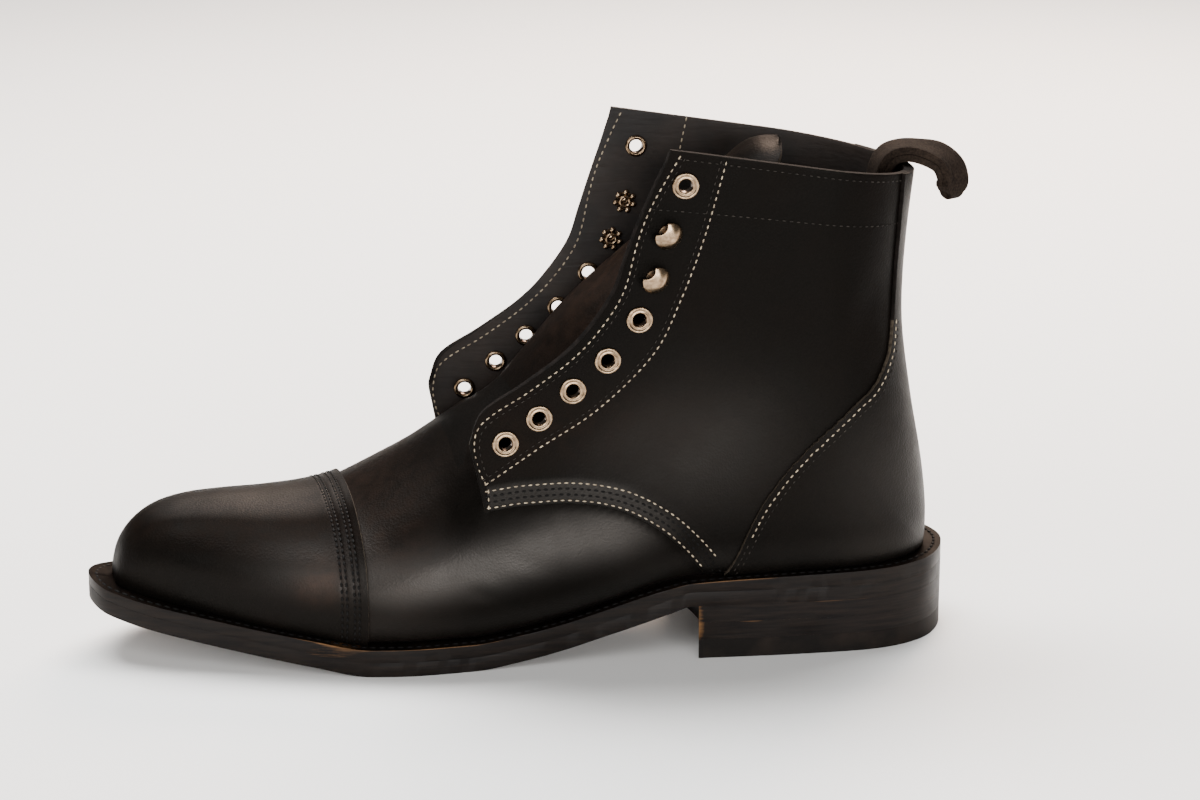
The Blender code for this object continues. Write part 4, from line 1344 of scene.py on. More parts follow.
def lifted_points(places, side, height, inside=False):
    """Points over the quarter's face (or inside its wall) and the way that the leather faces there."""
    points = []
    ways = []
    for s, v in places:
        way = normal_at(quarter_line, s, v, side)
        reach = -(WALL + height) if inside else height
        points.append(point_at(quarter_line, s, v, side) + way * reach)
        ways.append(-way if inside else way)
    points = np.array(points)
    ways = np.array(ways)
    outward = -ways if inside else ways
    return points + outward * hide_relief(points, outward)[:, None], ways


def band_polish(places, normals):
    """A little more gloss than the quarter between the rows of stitches, none above them."""
    edge = np.interp(places[:, 0] - SINK_SHIFT * (normals[:, 1] > 0), *SEAM_LINE)
    above = places[:, 2] - edge - BAND_CREAM_ROWS[1]
    ahead = ease((BAND_DULL_FROM - places[:, 0]) / BAND_DULL_FADE)
    return upper_polish(places, normals) + BAND_GLOSS * ahead * (1.0 - ease(above / BAND_FADE))


def strip(name, columns, profile, side, depth, flip):
    """Strip of leather on the quarter, a line of places for each row of its profile."""
    grids = []
    for below in (depth, 0.0):
        lines = [lifted_points(column, side, row[1] - below)[0] for row, column in zip(profile, columns)]
        grids.append(np.swapaxes(np.array(lines), 0, 1))
    return new_piece(name, slab(name, *grids, flip, 1), LEATHER, RAW_EDGE)


def build_seam_bands():
    """Lower margin of each quarter, sewn over the vamp and thinned out upwards into the quarter."""
    columns = [seam_places(distance, BAND_FINE + 1) for distance, _ in BAND_PROFILE]
    for side, name in SIDE_NAMES:
        band = strip("fine_seam_band_" + name, columns, BAND_PROFILE, side, BAND_DEPTH, side == MEDIAL)
        complete(band, "upper_leather", "seam_band_" + name, polish=band_polish)


def build_tab_edges():
    """Cut front edge of each quarter, from the corner of its facing down to the seam band."""
    start = quarter_at(*SEAM_EDGE[0])[1]
    for side, name in SIDE_NAMES:
        shares = np.linspace(start, TAB_TOP[side], TAB_FINE + 1)
        columns = [[(away / TAB_ROW, v) for v in shares] for away, _ in TAB_PROFILE]
        edge = strip("tab_edge_" + name, columns, TAB_PROFILE, side, TAB_DEPTH, side == LATERAL)
        complete(edge, "upper_leather", polish=lambda places, normals: np.full(len(places), TAB_POLISH))


# Tongue and pull loop

TONGUE_FINE = 80
TONGUE_TIP_FINE = 24
TONGUE_BLUNT = 0.002
TONGUE_ROUND = 2.0
TIP_FROM = 166.0
TIP_FADE = 8.0
TIP_DARK = 0.85
TONGUE_ACROSS = 40
TONGUE_STEP = 0.05
TONGUE_WAVE = 0.35
WAVES_ACROSS = 5.0
WAVES_ALONG = 2.0
WAVE_FULL_ROW = 2.0
TONGUE_ROUNDING = 0.4
TONGUE_RUB = 0.25
TONGUE_RUB_RISE = (80.0, 140.0)
LOOP_ROUNDING = 0.5
LOOP_BENDS = 17
LOOP_ACROSS = 7
LOOP_FINE = 70
LOOP_TAPER = 0.35
LOOP_ROUND = 0.82
LOOP_ROUND_FROM = 0.86
FOLD_ROW = 95
FOLD_SHARE = 0.66
FOLD_TONGUE_ROW = 2.0
FOLD_FINE = 40
FOLD_LIFT = 0.9
FOLD_BURIED = 0.15
FOLD_DEPTH = 1.0


def tongue_line(s, across):
    """Points of the tongue's outer face at row s, with the ways along it and out of it."""
    row = named_row(TONGUE_COLUMNS, TONGUE, s)
    last = len(TONGUE) - 1.0
    ahead = row_at(TONGUE, min(s + TONGUE_STEP, last))
    behind = row_at(TONGUE, max(s - TONGUE_STEP, 0.0))
    along = np.array([ahead[0] - behind[0], 0.0, ahead[1] - behind[1]])
    along /= np.linalg.norm(along)
    normal = np.array([-along[2], 0.0, along[0]])
    wave = TONGUE_WAVE * np.sin(across * WAVES_ACROSS + s * WAVES_ALONG) * ease(s / WAVE_FULL_ROW)
    centre = np.array([row["x"], row["y"], row["z"]])
    tip = max(s - last + 1.0, 0.0)
    across = across * max(1.0 - tip ** TONGUE_ROUND, TONGUE_BLUNT) ** (1.0 / TONGUE_ROUND)
    spread = np.outer(across * row["half_width"], (0.0, 1.0, 0.0))
    return centre + spread - np.outer(row["drop"] * across ** 2 + wave, normal), along, normal


def build_throat_fold():
    """Leather that carries on from the vamp over the edge of the throat and down on to the tongue."""
    shares = np.linspace(0.0, 1.0, ACROSS_FINE + 1)
    used = shares >= FOLD_SHARE
    starts = []
    ways = []
    outs = []
    for side in SIDES:
        grid = fine_vamp(side, shares)
        normals = grid_normals(grid, side)[FOLD_ROW][used]
        points = grid[FOLD_ROW][used]
        points = points + normals * (hide_relief(points, normals) + seam_sink(points, normals))[:, None]
        way = (grid[FOLD_ROW + 1] - grid[FOLD_ROW - 1])[used]
        keep = slice(None) if side == LATERAL else slice(-2, None, -1)
        starts.append(points[keep])
        ways.append(way[keep])
        outs.append(normals[keep])
    start = np.vstack(starts)
    way = np.vstack(ways)
    way /= np.linalg.norm(way, axis=1)[:, None]
    out = np.vstack(outs)
    end, along, normal = tongue_line(FOLD_TONGUE_ROW, np.linspace(-1.0, 1.0, len(start)))
    span = np.linalg.norm(end - start, axis=1)[:, None]
    high = []
    low = []
    for t in np.linspace(0.0, 1.0, FOLD_FINE + 1):
        line = (2 * t ** 3 - 3 * t ** 2 + 1) * start + (t ** 3 - 2 * t ** 2 + t) * span * way
        line = line + (3 * t ** 2 - 2 * t ** 3) * end + (t ** 3 - t ** 2) * span * along
        face = out + (normal - out) * t
        face /= np.linalg.norm(face, axis=1)[:, None]
        line = line + face * (FOLD_LIFT * math.sin(math.pi * t) - FOLD_BURIED)
        high.append(line)
        low.append(line - face * FOLD_DEPTH)
    fold = new_piece("throat_fold", slab("throat_fold", low, high, False), LEATHER)
    return complete(fold, "upper_leather", polish=upper_polish)


def off_tip(places):
    """The rolled tip of the tongue is dull and dark."""
    return 1.0 - TIP_DARK * ease((places[:, 2] - TIP_FROM) / TIP_FADE)


def rubbed_tongue(places, normals):
    """Brown on the upper part of the tongue, below its tip."""
    return TONGUE_RUB * ramp(places[:, 2], *TONGUE_RUB_RISE) * off_tip(places)


def build_tongue():
    """Arched tongue with a raw edge, pinched a little at its root."""
    low = []
    high = []
    across = np.linspace(-1.0, 1.0, TONGUE_ACROSS + 1)
    tip_row = len(TONGUE) - 2.0
    rounded = tip_row + np.sin(np.linspace(0.0, math.pi / 2, TONGUE_TIP_FINE))
    for s in np.concatenate([np.linspace(0.0, tip_row, TONGUE_FINE, endpoint=False), rounded]):
        line, _, normal = tongue_line(s, across)
        high.append(line)
        low.append(line - normal * TONGUE_THICKNESS)
    tongue = new_piece("fine_tongue", slab("fine_tongue", low, high, False, 1), LEATHER, RAW_EDGE)
    return complete(tongue, "upper_leather", "tongue", rounding=TONGUE_ROUNDING, burnish=rubbed_tongue,
                    polish=lambda places, normals: DULL * off_tip(places))


def build_pull_loop():
    """Doubled strap: out along one face of its middle line, round the bight and back along the other."""
    samples = smooth_path(LOOP_PATH, LOOP_FINE)
    along = np.gradient(samples[:, :2], axis=0)
    along /= np.linalg.norm(along, axis=1)[:, None]
    turn = np.radians(samples[:, 2])[:, None]
    level = np.zeros(len(samples))
    centres = np.stack([samples[:, 0], level, samples[:, 1]], axis=1)
    upright = np.stack([-along[:, 1], level, along[:, 0]], axis=1)
    across = np.array([[0.0, 1.0, 0.0]])
    facings = upright * np.cos(turn) - across * np.sin(turn)
    widths = across * np.cos(turn) + upright * np.sin(turn)
    tip = np.array([along[-1, 0], 0.0, along[-1, 1]])
    bends = np.linspace(0.0, math.pi, LOOP_BENDS)[1:-1]
    to_end = np.linspace(0.0, 1.0, LOOP_FINE) - LOOP_ROUND_FROM
    round_share = LOOP_ROUND * np.clip(to_end / (1.0 - LOOP_ROUND_FROM), 0.0, 1.0)
    widths = widths * np.sqrt(1.0 - round_share ** 2)[:, None]
    rounded = widths[-1] * (1.0 - LOOP_TAPER * np.sin(bends))[:, None]
    spans = np.vstack([widths, rounded, widths[::-1]])
    faces = []
    for reach in (LOOP_PRESSED, 0.5 * LOOP_SLOT + LOOP_STRAP):
        bight = [centres[-1] + reach * (facings[-1] * math.cos(a) + tip * math.sin(a)) for a in bends]
        line = np.vstack([centres + facings * reach, bight, (centres - facings * reach)[::-1]])
        faces.append([[p + w * share for share in np.linspace(-0.5, 0.5, LOOP_ACROSS) * LOOP_WIDTH]
                      for p, w in zip(line, spans)])
    loop = new_piece("fine_pull_loop", slab("fine_pull_loop", faces[0], faces[1], False, 0), STRAP)
    return complete(loop, "upper_leather", "pull_loop", rounding=LOOP_ROUNDING)


# Sole and heel

PLATE_ACROSS = 12
SOLE_ROUNDING = 0.05
WELT_ROUNDING = 0.06
LIFT_ROUNDING = 0.06
CORNER_ANGLE = 15.0
BREAST_FINE = 24
INSOLE_ROUNDING = 0.6
FACES_DOWN = -0.8
SOLE_RUB = 0.03
JOINT_RUB = 0.05
JOINT_BREADTH = 0.5
JOINT_TILT = (0.2, 0.5)
CORNER_TILT = (0.3, 0.5)
WAXED_TILT = (0.3, 0.6)
BALL_KNOCK = ((0.9, -178.0, 9.5, 12.0, 3.0),)
# Pale line along the top corner of the welt: partly wear, partly a painted highlight
CORNER_WEAR_AND_HIGHLIGHT = (
    # share, x, z, length, breadth
    (1.2, -156, 12, 44, 20),
    (1.2, -38, 24, 22, 20),
)


def plate(name, top, bottom, inset, *finishes):
    """Plate with the sole's outline, moved inwards by inset, between two heights given by x."""
    lateral = inset_half(LATERAL, PLAN_FINE, inset)
    medial = inset_half(MEDIAL, PLAN_FINE, inset)
    shares = np.linspace(0.0, 1.0, PLATE_ACROSS + 1)
    plan = [[a + (b - a) * t for t in shares] for a, b in zip(lateral, medial)]
    high = [[(*p, top(p[0])) for p in line] for line in plan]
    low = [[(*p, bottom(p[0])) for p in line] for line in plan]
    return new_piece(name, slab(name, low, high, False), *finishes)


def rub_and_edge_highlight_sole(places, normals):
    """Bare tan along the joint and where the edge took knocks at the ball, and along the top corner of the
    welt a pale line that is partly wear and partly a painted highlight.
    """
    sideways = np.abs(normals[:, 1])
    away = (places[:, 2] - welt_foot(places[:, 0])) / JOINT_BREADTH
    line = np.exp(-away ** 2) * ramp(sideways, *JOINT_TILT)
    below = (welt_top(places[:, 0]) - places[:, 2]) / PALE_LINE
    # Pale line just below the welt's top edge: partly wear, partly a painted highlight
    corner = ease(1.0 - below) * ramp(sideways, *CORNER_TILT)
    return JOINT_RUB * line + spots(places, BALL_KNOCK) + corner * spots(places, CORNER_WEAR_AND_HIGHLIGHT) + SOLE_RUB


def sole_polish(places, normals):
    """The edges are waxed, the top of the welt is not."""
    return 1.0 - ramp(normals[:, 2], *WAXED_TILT)


def build_sole():
    """Outsole, welt and insole."""
    outsole = plate("fine_outsole", welt_foot, underside, 0.0, SOLE_EDGE, SOLE_BOTTOM)
    round_edges(outsole, SOLE_ROUNDING, 3)
    settle(outsole, CORNER_ANGLE)
    for face in outsole.data.polygons:
        face.material_index = 1 if face.normal.z < FACES_DOWN else 0
    paint(outsole, burnish=rub_and_edge_highlight_sole, polish=sole_polish)
    hand_over(outsole, "sole_leather", "outsole")

    insole = plate("fine_insole", lambda x: welt_top(x) + GAP + INSOLE_THICKNESS,
                   lambda x: welt_top(x) + GAP, lambda x: welt_reach(x) + INSOLE_INSET, INSOLE)
    complete(insole, "insole_leather", "insole", rounding=INSOLE_ROUNDING)

    rings = []
    for inset in (WELT_EDGE, lambda x: welt_reach(x) + WELT_UNDER):
        lateral = inset_half(LATERAL, PLAN_FINE, inset)
        medial = inset_half(MEDIAL, PLAN_FINE, inset)
        rings.append(np.vstack([lateral, medial[::-1][1:-1]]))
    outer, inner = rings
    loops = []
    for ring, height in ((outer, welt_foot), (outer, lambda x: welt_top(x) - PALE_LINE), (outer, welt_top),
                         (inner, welt_top), (inner, welt_foot)):
        loop = [(p[0], p[1], height(p[0])) for p in ring]
        loops.append(loop + loop[:1])
    welt = new_piece("fine_welt", sheet("fine_welt", [(loops + loops[:1], True, 0)]), SOLE_EDGE)
    complete(welt, "sole_leather", "welt", rounding=WELT_ROUNDING, segments=3, sharp=CORNER_ANGLE,
             burnish=rub_and_edge_highlight_sole, polish=sole_polish)


def welt_foot(x):
    return underside(x) + OUTSOLE_THICKNESS


def rubbed_heel(places, normals):
    """Bare tan at the corner of the breast and thin lines along the top of a lift."""
    line = ease((places[:, 2] - places[:, 2].max() + PALE_LINE) / PALE_LINE)
    return SOLE_RUB + spots(places, HEEL_CORNER) + line * spots(places, HEEL_SCUFFS)


def build_heel():
    """Heel stack with a hollowed breast, each lift with softened edges."""
    lateral = [p for p in sole_half(LATERAL, PLAN_FINE) if p[0] > HEEL_BREAST_X + 1.0]
    medial = [p for p in sole_half(MEDIAL, PLAN_FINE) if p[0] > HEEL_BREAST_X + 1.0]
    corner_y = abs(lateral[0][1])
    breast = []
    for y in np.linspace(-corner_y, corner_y, BREAST_FINE + 1):
        hollow = HEEL_BREAST_HOLLOW * (1 - (y / corner_y) ** 2)
        breast.append((HEEL_BREAST_X + hollow, y))
    ring = breast + medial[1:] + lateral[1:-1][::-1]
    for name, bottom, top in HEEL_LIFTS:
        bm = bmesh.new()
        face = bm.faces.new([bm.verts.new((p[0] * MM, p[1] * MM, bottom * MM)) for p in ring])
        for rise in (top - bottom + GAP - PALE_LINE, PALE_LINE):
            made = bmesh.ops.extrude_face_region(bm, geom=[face])["geom"]
            raised = [v for v in made if isinstance(v, bmesh.types.BMVert)]
            bmesh.ops.translate(bm, verts=raised, vec=(0.0, 0.0, rise * MM))
            if rise > PALE_LINE:
                face = next(f for f in made if isinstance(f, bmesh.types.BMFace))
        rubber = bottom == 0.0
        mesh = to_mesh("fine_" + name, bm, outward=True)
        lift = new_piece("fine_" + name, mesh, RUBBER if rubber else SOLE_EDGE)
        complete(lift, "heel_rubber" if rubber else "sole_leather", name, rounding=LIFT_ROUNDING,
                 sharp=CORNER_ANGLE, burnish=rubbed_heel, polish=sole_polish)


# Eyelets, hooks and stitches, set by Geometry Nodes

EYELET_BORE = 2.3
EYELET_FLANGE = (
    # outwards from the bore, height: a high outer crest, a shallow dip and a lower inner crest
    (2.40, 0.05),
    (2.38, 0.42),
    (2.22, 0.78),
    (1.92, 0.98),
    (1.58, 0.92),
    (1.22, 0.62),
    (0.92, 0.58),
    (0.66, 0.74),
    (0.38, 0.76),
    (0.14, 0.52),
    (0.00, 0.10),
)
EYELET_INSIDE = 3.9
EYELET_DIP = 1.07
EYELET_ROLL = 0.7
EYELET_BARREL = 0.6
EYELET_JOINS = (0.2, 0.05)
# Painted shade inside the eyelets' barrels and in the dip between the crests of their flanges
BORE_SHADE_RADIUS = (0.3, 0.1)
BORE_SHADE_DEPTH = (0.6, 0.2)
DIP_SHADE = 0.55
DIP_SHADE_BREADTH = 0.3
ROUND_FINE = 36
HOOK_RADIUS = 5.0
HOOK_HEIGHT = 4.6
HOOK_PLATE = 0.55
HOOK_NOTCH_AWAY = 5.9
HOOK_NOTCH = 3.3
HOOK_RINGS = 10
HOOK_ROUNDING = 0.15
HOOK_CROWN = 0.12
HOOK_BEND = 0.86
BEND_REAR_POWER = 1.5
BEND_POWER = 2.6
HOOK_WASHER = ((3.6, 0.1), (3.4, 0.8), (1.2, 0.9), (1.2, 0.1))
HOOK_STEM = ((1.9, HOOK_HEIGHT - 0.8), (1.5, 0.4), (1.0, 0.4), (1.0, HOOK_HEIGHT - 0.8))
RIVET_BACK = -WALL - GAP
RIVET_ROLL = 0.65
RIVET_ROLL_AT = (1.7, RIVET_BACK - 0.3)
RIVET_PETALS = 7
RIVET_RING = 3.3
PETAL_RADIUS = 1.1
PETAL_FLAT = 0.6
PETAL_BACK = RIVET_BACK - 0.35
SPOKE_PLAN = ((1.6, 0.5), (3.0, 0.5), (3.0, -0.5), (1.6, -0.5))
SPOKE_LEVELS = (RIVET_BACK - 0.55, RIVET_BACK - 0.05)


def turned(bm, profile, sides=ROUND_FINE):
    """Turn a closed profile of (radius, height) about Z into a ring."""
    loops = []
    for k in range(sides):
        angle = 2 * math.pi * k / sides
        loops.append([bm.verts.new((r * math.cos(angle) * MM, r * math.sin(angle) * MM, h * MM))
                      for r, h in profile])
    for k in range(sides):
        here = loops[k]
        there = loops[(k + 1) % sides]
        for i in range(len(profile)):
            j = (i + 1) % len(profile)
            bm.faces.new([here[i], there[i], there[j], here[j]])


def arc(radius, height, start, end, spread, count=7):
    """Rounded stretch of a profile: points on an ellipse about (radius, height), angles in degrees."""
    return [(radius + spread[0] * math.cos(math.radians(a)), height + spread[1] * math.sin(math.radians(a)))
            for a in np.linspace(start, end, count)]


def eyelet_mesh():
    """Pressed eyelet: a rolled flange outside, a barrel, and a flatter clenched flange inside the wall."""
    back = -WALL - GAP
    clench = 0.5 * (EYELET_INSIDE - EYELET_BORE)
    profile = [(EYELET_BORE + r, h) for r, h in EYELET_FLANGE]
    barrel = EYELET_BORE + EYELET_BARREL
    profile += arc(EYELET_BORE + clench, back, 180, 360, (clench, EYELET_ROLL), 9)
    profile += [(barrel, back + EYELET_JOINS[0]), (barrel, EYELET_JOINS[1])]
    bm = bmesh.new()
    turned(bm, profile)
    return to_mesh("eyelet", bm, outward=True)


def notch_reach(angle):
    """Radius of the hook's plate in a direction, cut short by the round notch at its front."""
    across = HOOK_NOTCH_AWAY * math.sin(angle)
    if math.cos(angle) <= 0 or abs(across) >= HOOK_NOTCH:
        return HOOK_RADIUS
    return min(HOOK_RADIUS, HOOK_NOTCH_AWAY * math.cos(angle) - math.sqrt(HOOK_NOTCH ** 2 - across ** 2))


def hook_plate():
    """Round plate of a speed hook, bent over from its rear and notched in front."""
    bm = bmesh.new()
    sides = 2 * ROUND_FINE
    centre = bm.verts.new((0.0, 0.0, HOOK_HEIGHT * MM))
    grid = []
    for i in range(1, HOOK_RINGS + 1):
        line = []
        for k in range(sides):
            angle = 2 * math.pi * k / sides
            r = notch_reach(angle) * i / HOOK_RINGS
            out = r / HOOK_RADIUS
            rear = 0.5 * (1 - math.cos(angle))
            fall = HOOK_CROWN * out ** 2 + HOOK_BEND * rear ** BEND_REAR_POWER * out ** BEND_POWER
            place = Vector((r * math.cos(angle), r * math.sin(angle), HOOK_HEIGHT * (1 - fall)))
            line.append(bm.verts.new(place * MM))
        grid.append(line)
    for k in range(sides):
        after = (k + 1) % sides
        bm.faces.new([centre, grid[0][k], grid[0][after]])
        for here, there in zip(grid, grid[1:]):
            bm.faces.new([here[k], there[k], there[after], here[after]])
    hook = new_piece("hook_plate", to_mesh("hook_plate", bm, outward=True))
    thicken(hook, HOOK_PLATE, -1)
    round_edges(hook, HOOK_ROUNDING)
    return settle(hook)


def hook_mesh():
    """Speed hook: its plate, washer and stem, and a star-shaped rivet inside the wall."""
    hook = hook_plate()
    bm = bmesh.new()
    bm.from_mesh(hook.data)
    bpy.data.objects.remove(hook, do_unlink=True)
    turned(bm, HOOK_WASHER)
    turned(bm, HOOK_STEM)
    turned(bm, arc(*RIVET_ROLL_AT, 0, 330, (RIVET_ROLL, RIVET_ROLL), 12))
    for k in range(RIVET_PETALS):
        angle = 2 * math.pi * k / RIVET_PETALS
        turn = np.array([math.cos(angle), math.sin(angle)])
        side = np.array([-turn[1], turn[0]])
        spot = Vector((*(turn * RIVET_RING), PETAL_BACK)) * MM
        made = bmesh.ops.create_uvsphere(bm, u_segments=12, v_segments=8, radius=PETAL_RADIUS * MM)
        for vert in made["verts"]:
            vert.co.z *= PETAL_FLAT
            vert.co += spot
        corners = [turn * out + side * across for out, across in SPOKE_PLAN]
        low, high = ([bm.verts.new(Vector((*c, level)) * MM) for c in corners] for level in SPOKE_LEVELS)
        bm.faces.new(low[::-1])
        bm.faces.new(high)
        for i, j in ((0, 1), (1, 2), (2, 3), (3, 0)):
            bm.faces.new([low[i], low[j], high[j], high[i]])
    return to_mesh("hook", bm, outward=True)


BEAD = {"Segments": 8, "Rings": 6, "Radius": 0.5}
GROWN_SHARP = 60.0


def new_tree(name, sockets):
    """Geometry Nodes tree with named inputs, and its group input and output nodes."""
    tree = bpy.data.node_groups.new(name, "GeometryNodeTree")
    tree.interface.new_socket("Geometry", in_out="INPUT", socket_type="NodeSocketGeometry")
    for label, kind in sockets.items():
        tree.interface.new_socket(label, in_out="INPUT", socket_type="NodeSocket" + kind)
    tree.interface.new_socket("Geometry", in_out="OUTPUT", socket_type="NodeSocketGeometry")
    return tree, node(tree, "NodeGroupInput").outputs


def kept_vector(tree, name):
    given = {"Name": name}
    return node(tree, "GeometryNodeInputNamedAttribute", given, data_type="FLOAT_VECTOR").outputs[0]


def end_tree(tree, points, instance, turn, finish, **more):
    """Close a tree: one instance on each point, made a plain mesh with its finish."""
    given = {"Points": points, "Instance": instance, "Rotation": turn, **more}
    placed = node(tree, "GeometryNodeInstanceOnPoints", given).outputs[0]
    real = node(tree, "GeometryNodeRealizeInstances", {"Geometry": placed}).outputs[0]
    done = node(tree, "GeometryNodeSetMaterial", {"Geometry": real, "Material": finish}).outputs[0]
    node(tree, "NodeGroupOutput", {"Geometry": done})


def thread_tree():
    """Stitches laid along lines, a pitch apart, lying on the leather."""
    tree, given = new_tree("thread_rows", {"Pitch": "Float", "Stitch": "Vector", "Thread": "Material"})
    line = node(tree, "GeometryNodeMeshToCurve", {"Mesh": given["Geometry"]}).outputs[0]
    spaced = {"Curve": line, "Length": given["Pitch"]}
    points = node(tree, "GeometryNodeResampleCurve", spaced, mode="LENGTH").outputs[0]
    along = node(tree, "GeometryNodeInputTangent").outputs[0]
    axes = {"Primary Axis": along, "Secondary Axis": kept_vector(tree, "up")}
    turn = node(tree, "FunctionNodeAxesToRotation", axes, primary_axis="X", secondary_axis="Z").outputs[0]
    bead = node(tree, "GeometryNodeMeshUVSphere", BEAD).outputs[0]
    soft = node(tree, "GeometryNodeSetShadeSmooth", {"Geometry": bead}).outputs[0]
    end_tree(tree, points, soft, turn, given["Thread"], Scale=given["Stitch"])
    return tree


def fitting_tree():
    """One fitting set on each point, facing out of the leather and turned towards the throat."""
    tree, given = new_tree("fittings", {"Fitting": "Object", "Plate": "Material"})
    axes = {"Primary Axis": kept_vector(tree, "up"), "Secondary Axis": kept_vector(tree, "ahead")}
    turn = node(tree, "FunctionNodeAxesToRotation", axes, primary_axis="Z", secondary_axis="X").outputs[0]
    shape = node(tree, "GeometryNodeObjectInfo", {"Object": given["Fitting"]}).outputs["Geometry"]
    points = node(tree, "GeometryNodeMeshToPoints", {"Mesh": given["Geometry"]}).outputs[0]
    end_tree(tree, points, shape, turn, given["Plate"])
    return tree


def grown(name, mesh, tree, values):
    """Run a tree on a mesh of lines or points, and keep the result as a plain mesh."""
    piece = new_piece(name, mesh)
    grow = piece.modifiers.new("grow", "NODES")
    grow.node_group = tree
    for item in tree.interface.items_tree:
        if item.item_type == "SOCKET" and item.in_out == "INPUT" and item.name in values:
            grow[item.identifier] = values[item.name]
    return settle(piece, GROWN_SHARP)


def line_mesh(name, lines):
    """Mesh of open lines, each a pair of points in millimetres and the ways that the leather faces."""
    points = []
    edges = []
    ways = []
    for path, up in lines:
        first = len(points)
        points += [tuple(p * MM) for p in path]
        ways += [tuple(u) for u in up]
        edges += [(first + i, first + i + 1) for i in range(len(path) - 1)]
    mesh = bpy.data.meshes.new(name)
    mesh.from_pydata(points, edges, [])
    keep_vectors(mesh, "up", ways)
    return mesh


def keep_vectors(mesh, name, vectors):
    layer = mesh.attributes.new(name, "FLOAT_VECTOR", "POINT")
    layer.data.foreach_set("vector", np.array(vectors, dtype=np.float32).ravel())


def painted_eyelet_shade(places, normals):
    """Painted shade: dark brown inside the barrels of the eyelets and in the dip of their flanges."""
    centres = np.array([place[2] for place in FASTENED])
    axes = np.array([place[3] for place in FASTENED])
    nearest = np.argmin(np.linalg.norm(places[:, None] - centres[None], axis=2), axis=1)
    away = places - centres[nearest]
    depth = np.sum(away * axes[nearest], axis=1)
    radius = np.linalg.norm(away - depth[:, None] * axes[nearest], axis=1)
    outwards = radius - EYELET_BORE
    # Painted shade: darker deep in the barrel and in the flange's dip
    bore = ramp(outwards, *BORE_SHADE_RADIUS) * ramp(depth, *BORE_SHADE_DEPTH)
    return bore + DIP_SHADE * np.exp(-((outwards - EYELET_DIP) / DIP_SHADE_BREADTH) ** 2)


def build_fittings():
    """Eyelets and hooks on both facings."""
    tree = fitting_tree()
    for kind, shape in (("eyelet", eyelet_mesh()), ("hook", hook_mesh())):
        places = [place for place in FASTENED if place[1] == kind]
        mesh = bpy.data.meshes.new(kind + "_places")
        mesh.from_pydata([tuple(place[2] * MM) for place in places], [], [])
        keep_vectors(mesh, "up", [place[3] for place in places])
        keep_vectors(mesh, "ahead", [place[4] for place in places])
        pattern = new_piece(kind + "_pattern", shape)
        pieces = grown("nickel_" + kind + "s", mesh, tree, {"Fitting": pattern, "Plate": NICKEL})
        bpy.data.objects.remove(pattern, do_unlink=True)
        # Painted shade inside the eyelets
        if kind == "eyelet":
            paint(pieces, burnish=painted_eyelet_shade)
        hand_over(pieces, "nickel", *[place[0] for place in places])


# Rows of stitches, in the outer side view
FACING_ROW = (
    # x, z
    (-58.8, 181.6),
    (-67.9, 165.6),
    (-72.8, 153),
    (-77.5, 135.7),
    (-86, 122.4),
    (-95.8, 112.4),
    (-110.2, 102.1),
    (-122, 95.2),
    (-127.6, 90),
    (-128.9, 83),
    (-127.2, 75),
    (-125.2, 70.6),
)
FACING_REAR_ROW = (
    (-43, 179),
    (-50, 153),
    (-58, 131),
    (-67, 113),
    (-86, 94),
    (-107, 81.4),
    (-124.8, 70.4),
)
COLLAR_STITCHES = ((-58.5, 181.0), (-30.0, 176.4), (0.0, 171.5), (20.0, 168.2))
SHAFT_STITCHES = ((-67.4, 164.0), (-30.0, 159.4), (0.0, 155.4), (20.0, 152.8))
BAND_END_ROW = ((-124.2, 62.0), (-124.2, 65.0), (-124.2, 67.8))
TWIN_ROW = 1.8
INNER_REAR_SHIFT = 8.0
BAND_TOP = 0.24
BAND_CREAM_END = 57
COUNTER_CREAM_ROW = 2.0
COUNTER_GREY_ROW = 4.1
WELT_ROW = 2.7
STITCH_LIFT = 0.12
CAP_ROW_ENDS = (0.04, 0.995)
ROW_FINE = 60
FACING_FINE = 90
REAR_FINE = 70
COLLAR_FINE = 40
BAND_END_FINE = 8
PITCH = 2.5
STITCH = (1.5, 0.56, 0.42)
DARK_STITCH = (1.6, 0.8, 0.3)
FINE_STITCH = (1.3, 0.4, 0.3)
WELT_PITCH = 3.2
WELT_STITCH = (2.5, 1.1, 0.8)


def counter_places(distance):
    """Row numbers and shares of a line behind the counter's front edge."""
    found = []
    for s in quarter_stations()[::2]:
        edge = counter_share(s, LATERAL)
        shares = np.linspace(0.0, edge, ROW_FINE)
        line = quarter_line(s, shares, LATERAL)
        back = np.concatenate([[0.0], np.cumsum(np.linalg.norm(np.diff(line[::-1], axis=0), axis=1))])
        if back[-1] > distance + 1.0:
            found.append((s, float(np.interp(distance, back, shares[::-1]))))
    return found


def cap_row(distance, side):
    """Row of stitches across the toe cap, a distance ahead of its raw edge."""
    pace = row_at(VAMP, CAP_ROW)[0] - row_at(VAMP, CAP_ROW - 1.0)[0]
    s = CAP_ROW - distance / pace
    shares = np.linspace(*CAP_ROW_ENDS, ROW_FINE)
    points = vamp_line(s, shares, side)
    ways = np.array([normal_at(vamp_line, s, v, side) for v in shares])
    return points + ways * (LAYER + STITCH_LIFT), ways


def welt_row(side):
    plan = inset_half(side, PLAN_FINE, WELT_ROW)
    points = np.array([(p[0], p[1], welt_top(p[0]) + STITCH_LIFT) for p in plan])
    return points, np.tile((0.0, 0.0, 1.0), (len(points), 1))


